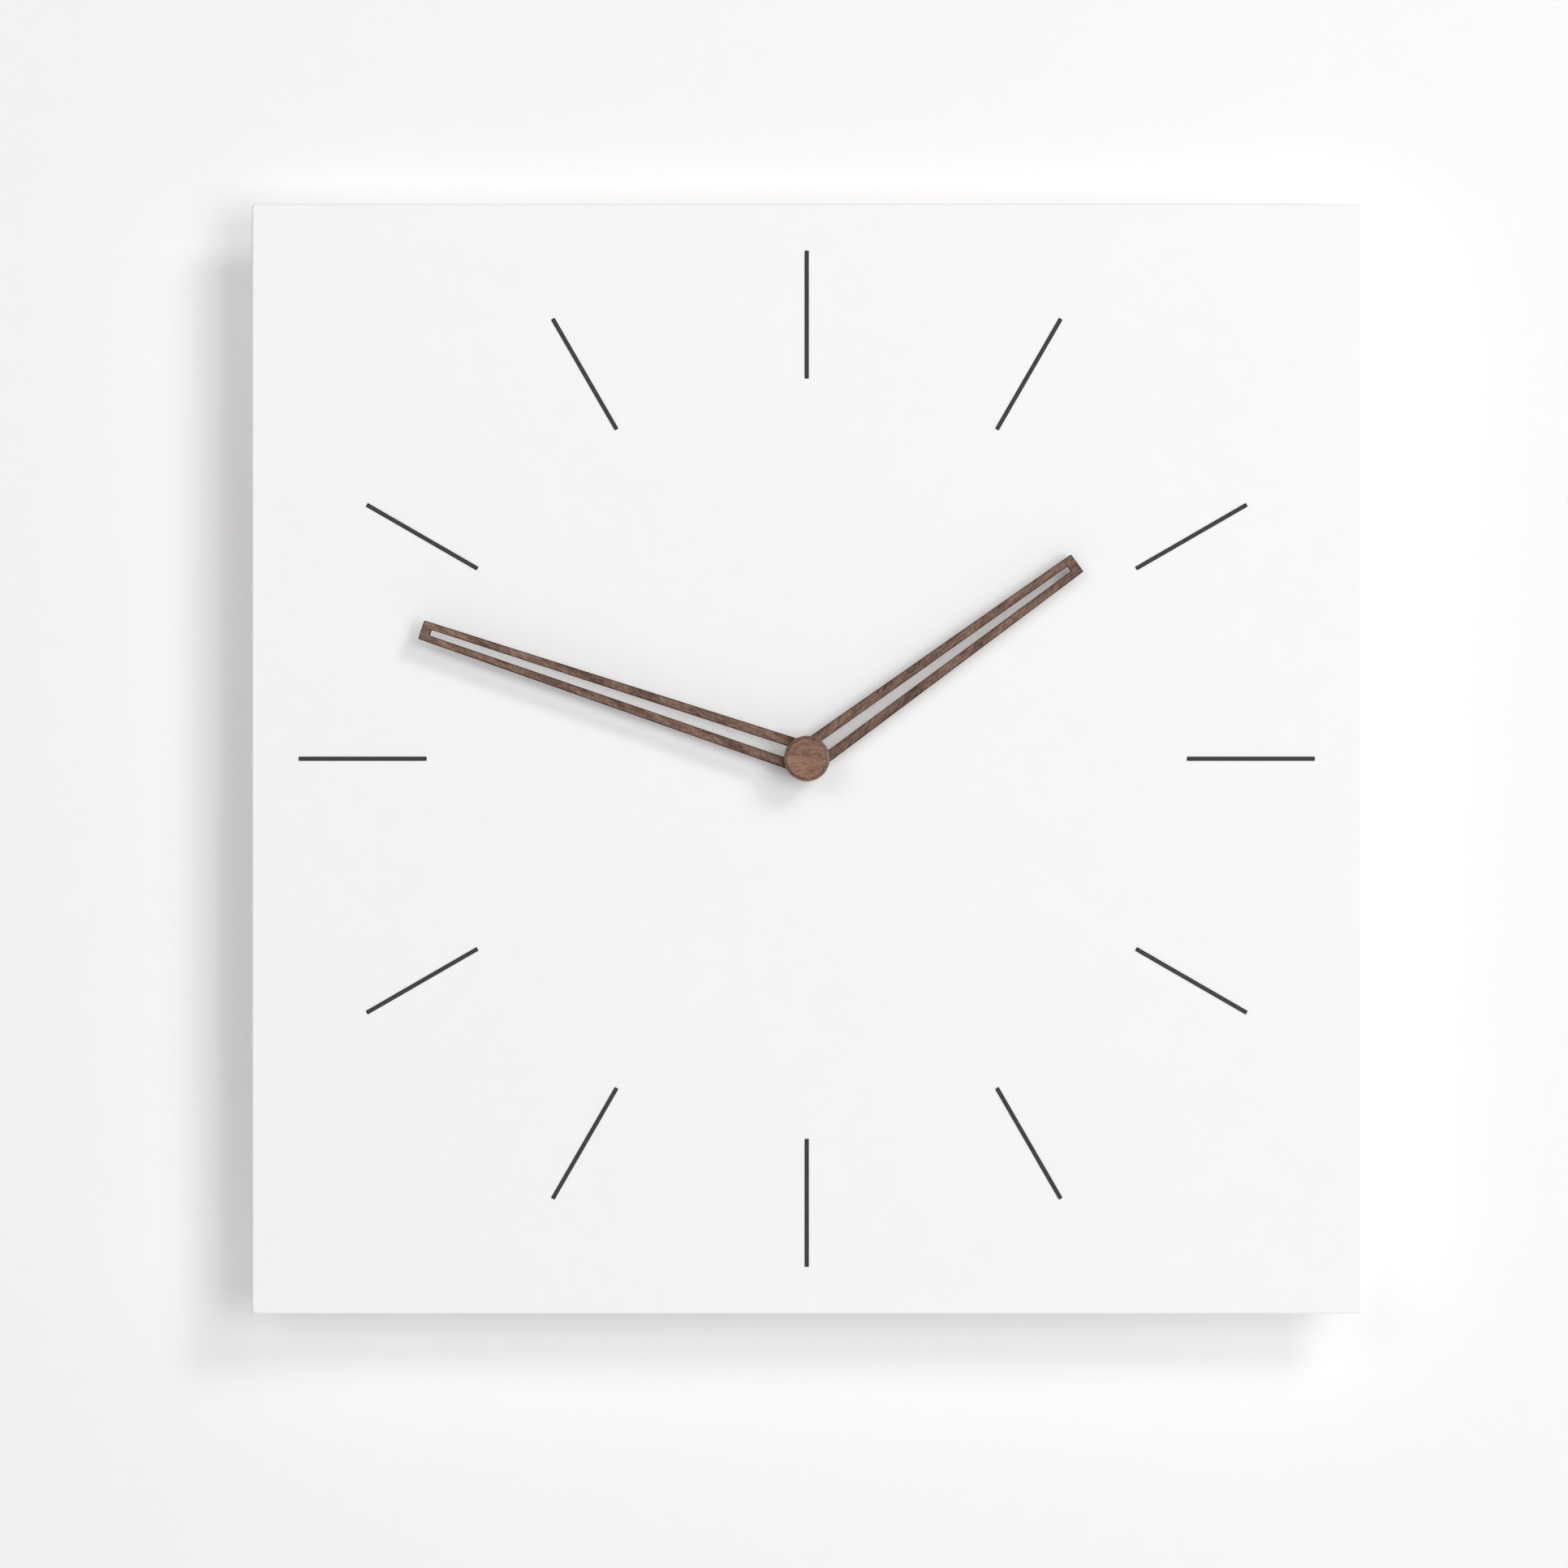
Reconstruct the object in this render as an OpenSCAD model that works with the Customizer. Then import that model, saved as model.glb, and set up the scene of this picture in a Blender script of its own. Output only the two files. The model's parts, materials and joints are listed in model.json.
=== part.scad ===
// Square wall clock, 1:48 on the dial.
// Every size is in millimetres. The wall is the plane y = 0 and the dial faces -Y.
// The origin is where the hands' axis meets the wall. Depths are counted from the wall.

/* [Dial panel] */
// Width of the panel
panel_w = 400; // [380:1:480]
// Height of the panel
panel_h = 400; // [380:1:480]
// Thickness of the panel
panel_t = 6; // [5:0.5:9]
// Radius of the four corners, seen from the front
panel_corner = 1; // [0.5:0.5:10]
// Chamfer along the front edges
panel_edge = 0.6; // [0.2:0.1:2]

/* [Hour marks] */
// Radius of the ring at the marks' inner ends
mark_inner = 137; // [120:1:144]
// Length of a mark
mark_len = 46; // [30:1:46]
// Width of a mark
mark_w = 1.4; // [1:0.1:4]
// How far a mark stands out of the panel
mark_proud = 0.5; // [0.2:0.1:1.5]
// How deep a mark is let into the panel
mark_set = 0.7; // [0.4:0.1:2]

/* [Hands] */
// Angle of the hour hand, clockwise from twelve
hour_angle = 54.1; // [0:0.1:360]
// Angle of the minute hand, clockwise from twelve
minute_angle = 288.5; // [0:0.1:360]
// Length of the minute hand from the axis to its tip
minute_len = 146; // [100:1:180]
// Length of the hour hand from the axis to its tip
hour_len = 120; // [80:1:160]
// Width of the minute hand at its tip
minute_tip_w = 7; // [6:0.1:10]
// Width of the hour hand at its tip
hour_tip_w = 7.6; // [6:0.1:10]
// Width that both hands grow to at the axis
hand_root_w = 11.7; // [10:0.1:14]
// Width of the long slot at the tip end
slot_tip_w = 2.1; // [1.5:0.1:4]
// Width that the slot would grow to at the axis
slot_root_w = 4.3; // [2:0.1:6]
// Length of the solid bar that closes each hand's tip
tip_bar = 3.6; // [2:0.1:8]
// Thickness of a hand
hand_t = 2; // [1.2:0.1:3]
// Diameter of the round hub under the cap
hub_d = 14; // [12:0.5:15]
// Diameter of the cap over the hub
cap_d = 16.4; // [15.5:0.1:24]
// Thickness of the cap
cap_t = 5.3; // [4:0.1:9]
// Chamfer round the cap's front
cap_edge = 0.5; // [0.2:0.1:1.5]

/* [Back frame] */
// Width of the frame behind the panel
frame_w = 300; // [240:1:360]
// Height of the frame behind the panel
frame_h = 300; // [240:1:360]
// Width of a rail, seen from the back
rail_w = 24; // [24:1:40]
// Shank diameter of the wood screws
screw_d = 3; // [2.5:0.1:4]
// Head diameter of the wood screws
screw_head_d = 6; // [5.5:0.1:7]
// How far the frame screws bite into the panel
screw_bite = 3; // [2:0.5:4]

/* [Hanging] */
// Width of the keyhole plate
plate_w = 40; // [36:1:60]
// Height of the keyhole plate
plate_h = 20; // [20:0.5:22]
// Thickness of the keyhole plate
plate_t = 1.5; // [1:0.1:2.5]
// Diameter of the hole that passes a wall screw's head
keyhole_d = 9; // [8:0.1:10]
// Width of the slot that the wall screw's neck slides up
keyslot_w = 4.2; // [3.5:0.1:5]
// How far the neck slides up
keyslot_rise = 8.5; // [7:0.1:9]
// Depth of the pocket behind the plate, for the head
head_room = 8; // [5:0.5:10]
// Diameter of a wall bumper
bumper_d = 10; // [8:0.5:18]
// Thickness of a wall bumper
bumper_t = 2; // [1:0.5:5]

/* [Movement] */
// Diameter of the AA cell
battery_d = 14.5; // [13.5:0.1:14.5]
// Length of the AA cell
battery_len = 50.5; // [50.5:0.5:62]
// Depth of the movement's case
case_t = 16; // [16:0.5:20]
// Wall of the case
case_wall = 1.4; // [1.4:0.1:2]
// Thickness of the rubber washer behind the panel
rubber_t = 1; // [0.5:0.1:2]
// Thickness of the brass washer in front of the panel
washer_t = 0.5; // [0.3:0.1:1]
// Outer diameter of the threaded bush
bush_d = 7.9; // [7.5:0.1:8.5]
// Thickness of the hex nut
nut_t = 2.2; // [1.5:0.1:3]
// Width across the hex nut's flats
nut_flats = 12; // [11:0.5:12]
// Diameter of the setting knob
knob_d = 12; // [8:0.5:13]
// Thickness of the setting knob
knob_t = 2.8; // [2:0.1:4]

/* [Gears] */
// Tooth module of the centre wheel and the third pinion
train_module = 0.32; // [0.31:0.01:0.32]
// Tooth module of the second and intermediate wheels
fast_module = 0.34; // [0.33:0.01:0.34]
// Tooth module of the wheels behind the hands
motion_module = 0.4; // [0.38:0.01:0.4]

/* [Hidden] */
$fn = 72;
small = 0.01;
run_gap = 0.05;
pivot_gap = 0.06;

// tooth counts: the wheel of each pair, then its pinion
centre_teeth = 64;
third_pinion_teeth = 8;
third_teeth = 60;
second_pinion_teeth = 8;
second_teeth = 60;
inter_pinion_teeth = 12;
inter_teeth = 48;
rotor_pinion_teeth = 8;
cannon_teeth = 12;
reduction_teeth = 36;
reduction_pinion_teeth = 10;
hour_teeth = 40;
setting_teeth = 12;
wheel_addendum = 1;
pinion_addendum = 0.7;
root_depth = 1.35;
tooth_share = 0.43;

// directions between the arbors, seen from the front, counterclockwise from +X
third_dir = 40;
inter_dir = 130;
rotor_dir = 150;
motion_dir = 180;
setting_dir = 170;

// distances between the arbors
third_dist = (centre_teeth + third_pinion_teeth) * train_module / 2;
third_module = 2 * third_dist / (third_teeth + second_pinion_teeth);
inter_dist = (second_teeth + inter_pinion_teeth) * fast_module / 2;
rotor_dist = (inter_teeth + rotor_pinion_teeth) * fast_module / 2;
motion_dist = (cannon_teeth + reduction_teeth) * motion_module / 2;
hour_module = 2 * motion_dist / (hour_teeth + reduction_pinion_teeth);
setting_dist = (reduction_teeth + setting_teeth) * motion_module / 2;

function polar(r, a) = [r * cos(a), r * sin(a)];
function tip_radius(teeth, mod, add) = (teeth / 2 + add) * mod;
function root_radius(teeth, mod) = (teeth / 2 - root_depth) * mod;
// phase of a gear that meshes with one of phase a, in direction dir from it
function mesh_phase(dir, a, teeth_a, teeth_b) =
    dir + 180 + 180 / teeth_b + (dir - a) * teeth_a / teeth_b;

third_at = polar(third_dist, third_dir);
inter_at = polar(inter_dist, inter_dir);
rotor_at = inter_at + polar(rotor_dist, rotor_dir);
motion_at = polar(motion_dist, motion_dir);
setting_at = motion_at + polar(setting_dist, setting_dir);

// depths from the wall, from the back to the front
knob_wall_gap = 1.8;
knob_gap = 0.4;
knob_back = bumper_t + knob_wall_gap;
case_back = knob_back + knob_t + knob_gap;
case_front = case_back + case_t;
panel_back = case_front + rubber_t;
panel_front = panel_back + panel_t;
rail_back = bumper_t;
rail_t = panel_back - rail_back;
nut_back = panel_front + washer_t;
bush_front = nut_back + nut_t + 0.7;
hand_gap = 0.4;
flange_t = 0.4;
bush_proud = 0.3;
hour_flange = bush_front + hand_gap;
hour_hand_back = hour_flange + flange_t;
hour_tube_front = hour_hand_back + hand_t + bush_proud;
minute_flange = hour_tube_front + hand_gap;
minute_hand_back = minute_flange + flange_t;
minute_hand_front = minute_hand_back + hand_t;
hand_nut_back = minute_hand_front + bush_proud;
hand_nut_t = 1.7;
arbor_front = hand_nut_back + hand_nut_t + 0.5;
cap_bore_front = arbor_front + 0.4;

// depths inside the case
plate_inner = case_front - case_wall;
cover_inner = case_back + case_wall;
wheel_t = 1;
thick_wheel_t = 1.2;
hour_layer = plate_inner - 1.2;
motion_layer = hour_layer - 2;
centre_layer = motion_layer - 2.2;
third_layer = centre_layer - 2.4;
second_layer = third_layer - 2.2;
inter_layer = second_layer - 2;
front_boss_end = hour_layer - 0.2;
cover_boss_t = 0.8;
pivot_back = cover_inner - 0.4;
pivot_front = plate_inner - 0.3;
hole_front = plate_inner + 0.3;
hole_back = cover_inner - 0.6;
boss_root = plate_inner + 0.5;
rotor_boss_end = third_layer + 1.8;
rotor_front = rotor_boss_end + 1.1;

// the case round the wheels and the cell
wheel_room = 0.44;
bay_top = tip_radius(centre_teeth, train_module, wheel_addendum) + wheel_room;
bay_wall = 0.9;
cell_gap = 0.3;
cell_at = -bay_top - bay_wall - cell_gap - battery_d / 2;
cell_depth = plate_inner - run_gap - battery_d / 2;
nub_len = 1;
nub_d = 5.5;
contact_room = 2.7;
plus_room = 1;
bay_len = battery_len + contact_room;
bay_low = cell_at - battery_d / 2 - 0.55;
case_w = bay_len + 2 * case_wall;
case_low = bay_low - case_wall;
case_up = 28;
cover_ledge = 0.6;
cover_lip = 0.3;
cell_plus = bay_len / 2 - plus_room;

// shafts
minute_r = 1.5;
second_r = 0.5;
pivot_r = 0.5;
rotor_r = 0.35;
setting_r = 0.9;
post_r = 0.8;
hour_tube_r = 2.55;
hour_bore_r = minute_r + run_gap;
bush_bore_r = hour_tube_r + run_gap;
bush_flange_r = 5.6;
bush_flange_t = 0.7;
minute_bush_r = 2.6;
hour_bush_r = 3.6;
hand_flange_r = 5;
slot_start = 7.2;

// motor and electronics, placed from the rotor
magnet_r = 2.8;
magnet_t = 2.5;
stator_hole_r = 3.2;
stator_t = 1;
stator_back = second_layer + 1.2;
stator_reach = 4.6;
stator_left = rotor_at[0] - 9.4;
stator_mid = rotor_at[0] + 4.9;
stator_right = rotor_at[0] + 13.5;
stator_top = rotor_at[1] + stator_reach;
ear_w = 3;
ear_rise = 1.7;
core_w = 2;
core_t = 1;
core_back = stator_back + stator_t;
coil_z = rotor_at[1] + 8.5;
coil_depth = core_back + core_t / 2;
coil_left = rotor_at[0] - 4.4;
coil_right = rotor_at[0] + 9;
bobbin_flange_t = 1;
bobbin_r = 1.9;
winding_r = 3.05;
bobbin_flange_r = 3.3;
board_left = 3;
board_w = 22;
board_low = 13.6;
board_h = 12;
board_t = 1;
board_back = cover_inner + 1;
board_posts = [[6, 23], [22, 16.4]];

// keyhole plate, let into the top rail
plate_mid = frame_h / 2 - rail_w / 2;
keyhole_at = plate_mid - 4;
pocket_r = keyhole_d / 2 + 1;
plate_screw_x = plate_w / 2 - 5;
frame_screw_x = frame_w / 2 - 45;
frame_screw_z = frame_h / 2 - 75;
countersink = (screw_head_d - screw_d) / 2;
screw_len = rail_t + screw_bite;
plate_screw_len = 14;

mark_numbers = [for (i = [1:12]) i];
mark_names = [for (i = mark_numbers) str("hour_mark_", i < 10 ? "0" : "", i)];

panel_white = "#f2f1ee";
mark_black = "#3b3836";
walnut = "#76604f";
pine = "#d8b98a";
steel = "#b9bcc0";
brass = "#c9a24a";
case_grey = "#2f3133";
nylon = "#e9e6dc";

// ---------- helpers ----------

// draws in the plane of the dial, seen from the front, raised to a depth from the wall
module facing(depth, at = [0, 0]) {
    rotate([90, 0, 0])
        translate([at[0], at[1], depth])
            children();
}

// disc or ring standing on a depth
module ring(depth, thick, outer, inner = 0, at = [0, 0]) {
    facing(depth, at)
        difference() {
            cylinder(h = thick, r = outer);
            if (inner > 0)
                translate([0, 0, -1])
                    cylinder(h = thick + 2, r = inner);
        }
}

// round bar, or the bore it leaves when cut away, from one depth to another
module rod(from, to, r, at = [0, 0]) {
    facing(from, at)
        cylinder(h = to - from, r = r);
}

// block from corner to corner in the dial's plane, between two depths
module block(low, high, from, to) {
    facing(from)
        translate([low[0], low[1], 0])
            cube([high[0] - low[0], high[1] - low[1], to - from]);
}

// one outline of teeth with radial flanks and rounded tips
function gear_outline(teeth, mod, add, phase) =
    let (
        pitch_r = teeth * mod / 2,
        root_r = root_radius(teeth, mod),
        half = 180 / teeth * tooth_share
    )
    [for (i = [0:teeth - 1])
        let (mid = phase + 360 * i / teeth)
        each [
            polar(root_r, mid - half),
            for (k = [0:4]) polar(pitch_r + add * mod * sin(45 * k), mid - half * cos(45 * k)),
            polar(root_r, mid + half)
        ]
    ];

module gear(depth, thick, teeth, mod, add, phase, at) {
    facing(depth, at)
        linear_extrude(height = thick)
            polygon(gear_outline(teeth, mod, add, phase));
}

// round windows that lighten a wheel
module windows(depth, count, r, ring_r, at) {
    for (i = [0:count - 1])
        rod(depth - 1, depth + wheel_t + 1, r, at + polar(ring_r, 360 * i / count));
}

// countersunk wood screw, its head at the given depth
module wood_screw(depth, long, at) {
    recess = screw_d / 5;
    difference() {
        screw_room(depth, long, at);
        facing(depth - small, at)
            for (turn = [0, 90])
                rotate([0, 0, turn])
                    translate([-screw_d / 2, -recess / 2, 0])
                        cube([screw_d, recess, countersink]);
    }
}

// the space that a wood screw fills
module screw_room(depth, long, at) {
    facing(depth, at)
        union() {
            cylinder(h = countersink, r1 = screw_head_d / 2, r2 = screw_d / 2);
            cylinder(h = long, r = screw_d / 2);
        }
}

// ---------- dial ----------

frame_screw_places = concat(
    [for (x = [-1, 1], z = [-1, 1]) [x * frame_screw_x, z * (frame_h - rail_w) / 2]],
    [for (x = [-1, 1], z = [-1, 1]) [x * (frame_w - rail_w) / 2, z * frame_screw_z]]
);

module rounded_rect(w, h, r) {
    union() {
        square([w - 2 * r, h], center = true);
        square([w, h - 2 * r], center = true);
        for (x = [-1, 1], y = [-1, 1])
            translate([x * (w / 2 - r), y * (h / 2 - r)])
                circle(r = r);
    }
}

module mark_bar(number, depth, thick) {
    facing(depth)
        rotate([0, 0, -30 * number])
            translate([-mark_w / 2, mark_inner, 0])
                cube([mark_w, mark_len, thick]);
}

// triangular prism that chamfers one front edge of the panel
module edge_cut(across, along) {
    translate([across / 2, along / 2 + 1, panel_t])
        rotate([90, 0, 0])
            linear_extrude(height = along + 2)
                polygon([[-panel_edge, 0], [1, 0], [1, -panel_edge - 1], [0, -panel_edge]]);
}

module dial_panel() {
    color(panel_white)
        difference() {
            facing(panel_back)
                difference() {
                    linear_extrude(height = panel_t)
                        rounded_rect(panel_w, panel_h, panel_corner);
                    for (turn = [0, 180])
                        rotate([0, 0, turn])
                            translate([0, 0, small])
                                edge_cut(panel_w, panel_h);
                    for (turn = [90, 270])
                        rotate([0, 0, turn])
                            translate([0, 0, small])
                                edge_cut(panel_h, panel_w);
                }
            for (number = mark_numbers)
                mark_bar(number, panel_front - mark_set, mark_set + 1);
            rod(panel_back - 1, panel_front + 1, bush_d / 2 + 0.25);
            for (place = frame_screw_places)
                rod(panel_back - 1, panel_back + screw_bite, screw_d / 2, place);
        }
}

module hour_mark(number) {
    color(mark_black)
        mark_bar(number, panel_front - mark_set, mark_set + mark_proud);
}

// ---------- frame and hanger ----------

module frame_screw_rooms() {
    for (place = frame_screw_places)
        screw_room(rail_back, screw_len, place);
}

module frame_top_rail() {
    color(pine)
        difference() {
            block([-frame_w / 2, frame_h / 2 - rail_w], [frame_w / 2, frame_h / 2], rail_back, panel_back);
            frame_screw_rooms();
            block(
                [-plate_w / 2, plate_mid - plate_h / 2],
                [plate_w / 2, plate_mid + plate_h / 2],
                rail_back - 1,
                rail_back + plate_t
            );
            rod(rail_back, rail_back + plate_t + head_room, pocket_r, [0, keyhole_at]);
            rod(rail_back, rail_back + plate_t + head_room, pocket_r, [0, keyhole_at + keyslot_rise]);
            block(
                [-pocket_r, keyhole_at],
                [pocket_r, keyhole_at + keyslot_rise],
                rail_back,
                rail_back + plate_t + head_room
            );
            for (x = [-1, 1])
                screw_room(rail_back, plate_screw_len, [x * plate_screw_x, plate_mid]);
        }
}

module frame_bottom_rail() {
    color(pine)
        difference() {
            block([-frame_w / 2, -frame_h / 2], [frame_w / 2, rail_w - frame_h / 2], rail_back, panel_back);
            frame_screw_rooms();
        }
}

module side_rail(side) {
    middle = side * (frame_w - rail_w) / 2;
    color(pine)
        difference() {
            block(
                [middle - rail_w / 2, rail_w - frame_h / 2],
                [middle + rail_w / 2, frame_h / 2 - rail_w],
                rail_back,
                panel_back
            );
            frame_screw_rooms();
        }
}

module frame_screws() {
    color(steel)
        for (place = frame_screw_places)
            wood_screw(rail_back, screw_len, place);
}

module hanger_plate() {
    color(steel)
        difference() {
            block(
                [-plate_w / 2, plate_mid - plate_h / 2],
                [plate_w / 2, plate_mid + plate_h / 2],
                rail_back,
                rail_back + plate_t
            );
            rod(rail_back - 1, rail_back + plate_t + 1, keyhole_d / 2, [0, keyhole_at]);
            rod(rail_back - 1, rail_back + plate_t + 1, keyslot_w / 2, [0, keyhole_at + keyslot_rise]);
            block(
                [-keyslot_w / 2, keyhole_at],
                [keyslot_w / 2, keyhole_at + keyslot_rise],
                rail_back - 1,
                rail_back + plate_t + 1
            );
            for (x = [-1, 1])
                screw_room(rail_back, plate_screw_len, [x * plate_screw_x, plate_mid]);
        }
}

module hanger_screws() {
    color(steel)
        for (x = [-1, 1])
            wood_screw(rail_back, plate_screw_len, [x * plate_screw_x, plate_mid]);
}

module wall_bumpers() {
    color("dimgray")
        for (x = [-1, 1], z = [-1, 1])
            facing(0, [x * (frame_w - rail_w) / 2, z * (frame_h - rail_w) / 2])
                union() {
                    cylinder(h = bumper_t / 2, r1 = bumper_d / 2 - 1, r2 = bumper_d / 2);
                    translate([0, 0, bumper_t / 2])
                        cylinder(h = bumper_t / 2, r = bumper_d / 2);
                }
}

// ---------- movement ----------

chamber_half = bay_len / 2 - cover_ledge;
chamber_top = case_up - case_wall - cover_ledge;
core_feet = [stator_left + ear_w / 2, stator_right - ear_w / 2];

module movement_case() {
    color(case_grey)
        difference() {
            union() {
                difference() {
                    block([-case_w / 2, case_low], [case_w / 2, case_up], case_back, case_front);
                    block(
                        [-chamber_half, -bay_top],
                        [chamber_half, chamber_top],
                        case_back - 1,
                        plate_inner
                    );
                    block(
                        [-bay_len / 2, -bay_top - cover_lip],
                        [bay_len / 2, case_up - case_wall],
                        case_back - 1,
                        cover_inner
                    );
                    block(
                        [-bay_len / 2, bay_low],
                        [bay_len / 2, -bay_top - bay_wall],
                        case_back - 1,
                        plate_inner
                    );
                }
                rod(front_boss_end, boss_root, pivot_r + 1, third_at);
                rod(front_boss_end, boss_root, pivot_r + 1, inter_at);
                rod(front_boss_end, boss_root, setting_r + 0.9, setting_at);
                rod(rotor_boss_end, boss_root, rotor_r + 1, rotor_at);
                rod(motion_layer - 0.4, boss_root, post_r, motion_at);
                for (x = core_feet)
                    rod(core_back + core_t, boss_root, 1.2, [x, stator_top]);
            }
            rod(front_boss_end - 1, hole_front, pivot_r + pivot_gap, third_at);
            rod(front_boss_end - 1, hole_front, pivot_r + pivot_gap, inter_at);
            rod(front_boss_end - 1, hole_front, setting_r + pivot_gap, setting_at);
            rod(rotor_boss_end - 1, rotor_front + 0.3, rotor_r + pivot_gap, rotor_at);
            rod(plate_inner - 1, case_front + 1, bush_d / 2);
            rod(plate_inner - 1, plate_inner + bush_flange_t, bush_flange_r);
        }
}

module movement_cover() {
    color(case_grey)
        difference() {
            union() {
                block(
                    [-bay_len / 2, -bay_top - cover_lip],
                    [bay_len / 2, case_up - case_wall],
                    case_back,
                    cover_inner
                );
                for (place = [[0, 0], third_at, inter_at, rotor_at])
                    ring(cover_inner - 0.5, cover_boss_t + 0.5, pivot_r + 1, 0, place);
                for (place = board_posts)
                    ring(cover_inner - 0.5, board_back - cover_inner + 0.5, 1.3, 0, place);
            }
            for (place = [[0, 0], third_at, inter_at])
                rod(hole_back, cover_inner + 2, pivot_r + pivot_gap, place);
            rod(hole_back, cover_inner + 2, rotor_r + pivot_gap, rotor_at);
            rod(case_back - 1, cover_inner + 1, setting_r + pivot_gap, setting_at);
        }
}

module threaded_bush() {
    groove = 0.25;
    pitch = 0.75;
    thread_start = case_front + 0.2;
    turns = floor((bush_front - thread_start) / pitch);
    color(brass)
        facing(plate_inner)
            rotate_extrude()
                polygon(concat(
                    [
                        [bush_bore_r, 0],
                        [bush_flange_r, 0],
                        [bush_flange_r, bush_flange_t],
                        [bush_d / 2, bush_flange_t]
                    ],
                    [for (i = [0:turns - 1], k = [0, 0.5])
                        [bush_d / 2 - 2 * k * groove, thread_start - plate_inner + (i + k) * pitch]],
                    [
                        [bush_d / 2 - groove, bush_front - plate_inner],
                        [bush_bore_r, bush_front - plate_inner]
                    ]
                ));
}

module rubber_washer() {
    color("dimgray")
        ring(case_front, rubber_t, 9, bush_d / 2 + 0.1);
}

module brass_washer() {
    color(brass)
        ring(panel_front, washer_t, 7, bush_d / 2 + 0.1);
}

module hex_nut() {
    color(brass)
        facing(nut_back)
            difference() {
                cylinder(h = nut_t, r = nut_flats / sqrt(3), $fn = 6);
                translate([0, 0, -1])
                    cylinder(h = nut_t + 2, r = bush_d / 2 + 0.02);
            }
}

module stator_plate() {
    color("slategray")
        difference() {
            union() {
                block(
                    [stator_left, rotor_at[1] - stator_reach],
                    [stator_mid, stator_top],
                    stator_back,
                    core_back
                );
                block([stator_mid - 1, rotor_at[1] + 0.5], [stator_right, stator_top], stator_back, core_back);
                for (x = core_feet)
                    block(
                        [x - ear_w / 2, stator_top - 1],
                        [x + ear_w / 2, stator_top + ear_rise],
                        stator_back,
                        core_back
                    );
            }
            rod(stator_back - 1, core_back + 1, stator_hole_r, rotor_at);
        }
}

module coil_core() {
    color("slategray")
        union() {
            block(
                [stator_left, coil_z - core_w / 2],
                [stator_right, coil_z + core_w / 2],
                core_back,
                core_back + core_t
            );
            for (x = core_feet)
                block(
                    [x - ear_w / 2, stator_top - 2],
                    [x + ear_w / 2, coil_z],
                    core_back,
                    core_back + core_t
                );
        }
}

// round piece on the coil's axis, from one x to another
module on_coil(from, to, r) {
    translate([from, -coil_depth, coil_z])
        rotate([0, 90, 0])
            cylinder(h = to - from, r = r);
}

module coil_bobbin() {
    color("goldenrod")
        difference() {
            union() {
                on_coil(coil_left, coil_left + bobbin_flange_t, bobbin_flange_r);
                on_coil(coil_left, coil_right, bobbin_r);
                on_coil(coil_right - bobbin_flange_t, coil_right, bobbin_flange_r);
            }
            block(
                [coil_left - 1, coil_z - core_w / 2],
                [coil_right + 1, coil_z + core_w / 2],
                core_back,
                core_back + core_t
            );
        }
}

module coil_winding() {
    color("#b5651d")
        difference() {
            on_coil(coil_left + bobbin_flange_t, coil_right - bobbin_flange_t, winding_r);
            on_coil(coil_left, coil_right, bobbin_r);
        }
}

module circuit_board() {
    color("darkgreen")
        block(
            [board_left, board_low],
            [board_left + board_w, board_low + board_h],
            board_back,
            board_back + board_t
        );
}

module driver_chip() {
    chip = 4;
    color("#1c1c1e")
        block(
            [board_left + 11, board_low + 4],
            [board_left + 11 + chip, board_low + 4 + chip],
            board_back + board_t,
            board_back + board_t + 1.2
        );
}

module quartz_crystal() {
    can_r = 1;
    can_len = 6;
    color(steel)
        translate([board_left + 2, -board_back - board_t - can_r, board_low + 3])
            rotate([0, 90, 0])
                cylinder(h = can_len, r = can_r);
}

// ---------- battery bay ----------

contact_t = 0.4;

module positive_contact() {
    pad_r = 2.2;
    color(steel)
        union() {
            block(
                [bay_len / 2 - contact_t, cell_at - 4.5],
                [bay_len / 2, cell_at + 4.5],
                cell_depth - 4.5,
                cell_depth + 4.5
            );
            translate([cell_plus + run_gap, -cell_depth, cell_at])
                rotate([0, 90, 0])
                    cylinder(h = bay_len / 2 - contact_t / 2 - cell_plus - run_gap, r = pad_r);
        }
}

module negative_plate() {
    color(steel)
        block(
            [-bay_len / 2, cell_at - 4.5],
            [contact_t - bay_len / 2, cell_at + 4.5],
            cell_depth - 4.5,
            cell_depth + 4.5
        );
}

// points of the conical contact spring's wire
wire_r = 0.3;
wire_sides = 8;
wire_turns = 3;
wire_steps = 18 * wire_turns;
spring_wide = 3.8;
spring_narrow = 1.4;
spring_from = contact_t - bay_len / 2 + wire_r;
spring_to = cell_plus - battery_len - wire_r - run_gap;
function spring_r(t) = spring_wide + (spring_narrow - spring_wide) * t;
function wire_ring(t) =
    let (turn = 360 * wire_turns * t, x = spring_from + (spring_to - spring_from) * t)
    [for (k = [0:wire_sides - 1])
        let (a = 360 * k / wire_sides, r = spring_r(t) + wire_r * cos(a))
        [x + wire_r * sin(a), -cell_depth + r * cos(turn), cell_at + r * sin(turn)]];

module negative_spring() {
    points = [for (i = [0:wire_steps]) each wire_ring(i / wire_steps)];
    last = wire_steps * wire_sides;
    sides = [for (i = [0:wire_steps - 1], k = [0:wire_sides - 1])
        let (a = i * wire_sides + k, b = i * wire_sides + (k + 1) % wire_sides)
        [a, b, b + wire_sides, a + wire_sides]];
    ends = [
        [for (k = [wire_sides - 1:-1:0]) k],
        [for (k = [0:wire_sides - 1]) last + k]
    ];
    color(steel)
        polyhedron(points = points, faces = concat(sides, ends));
}

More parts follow.
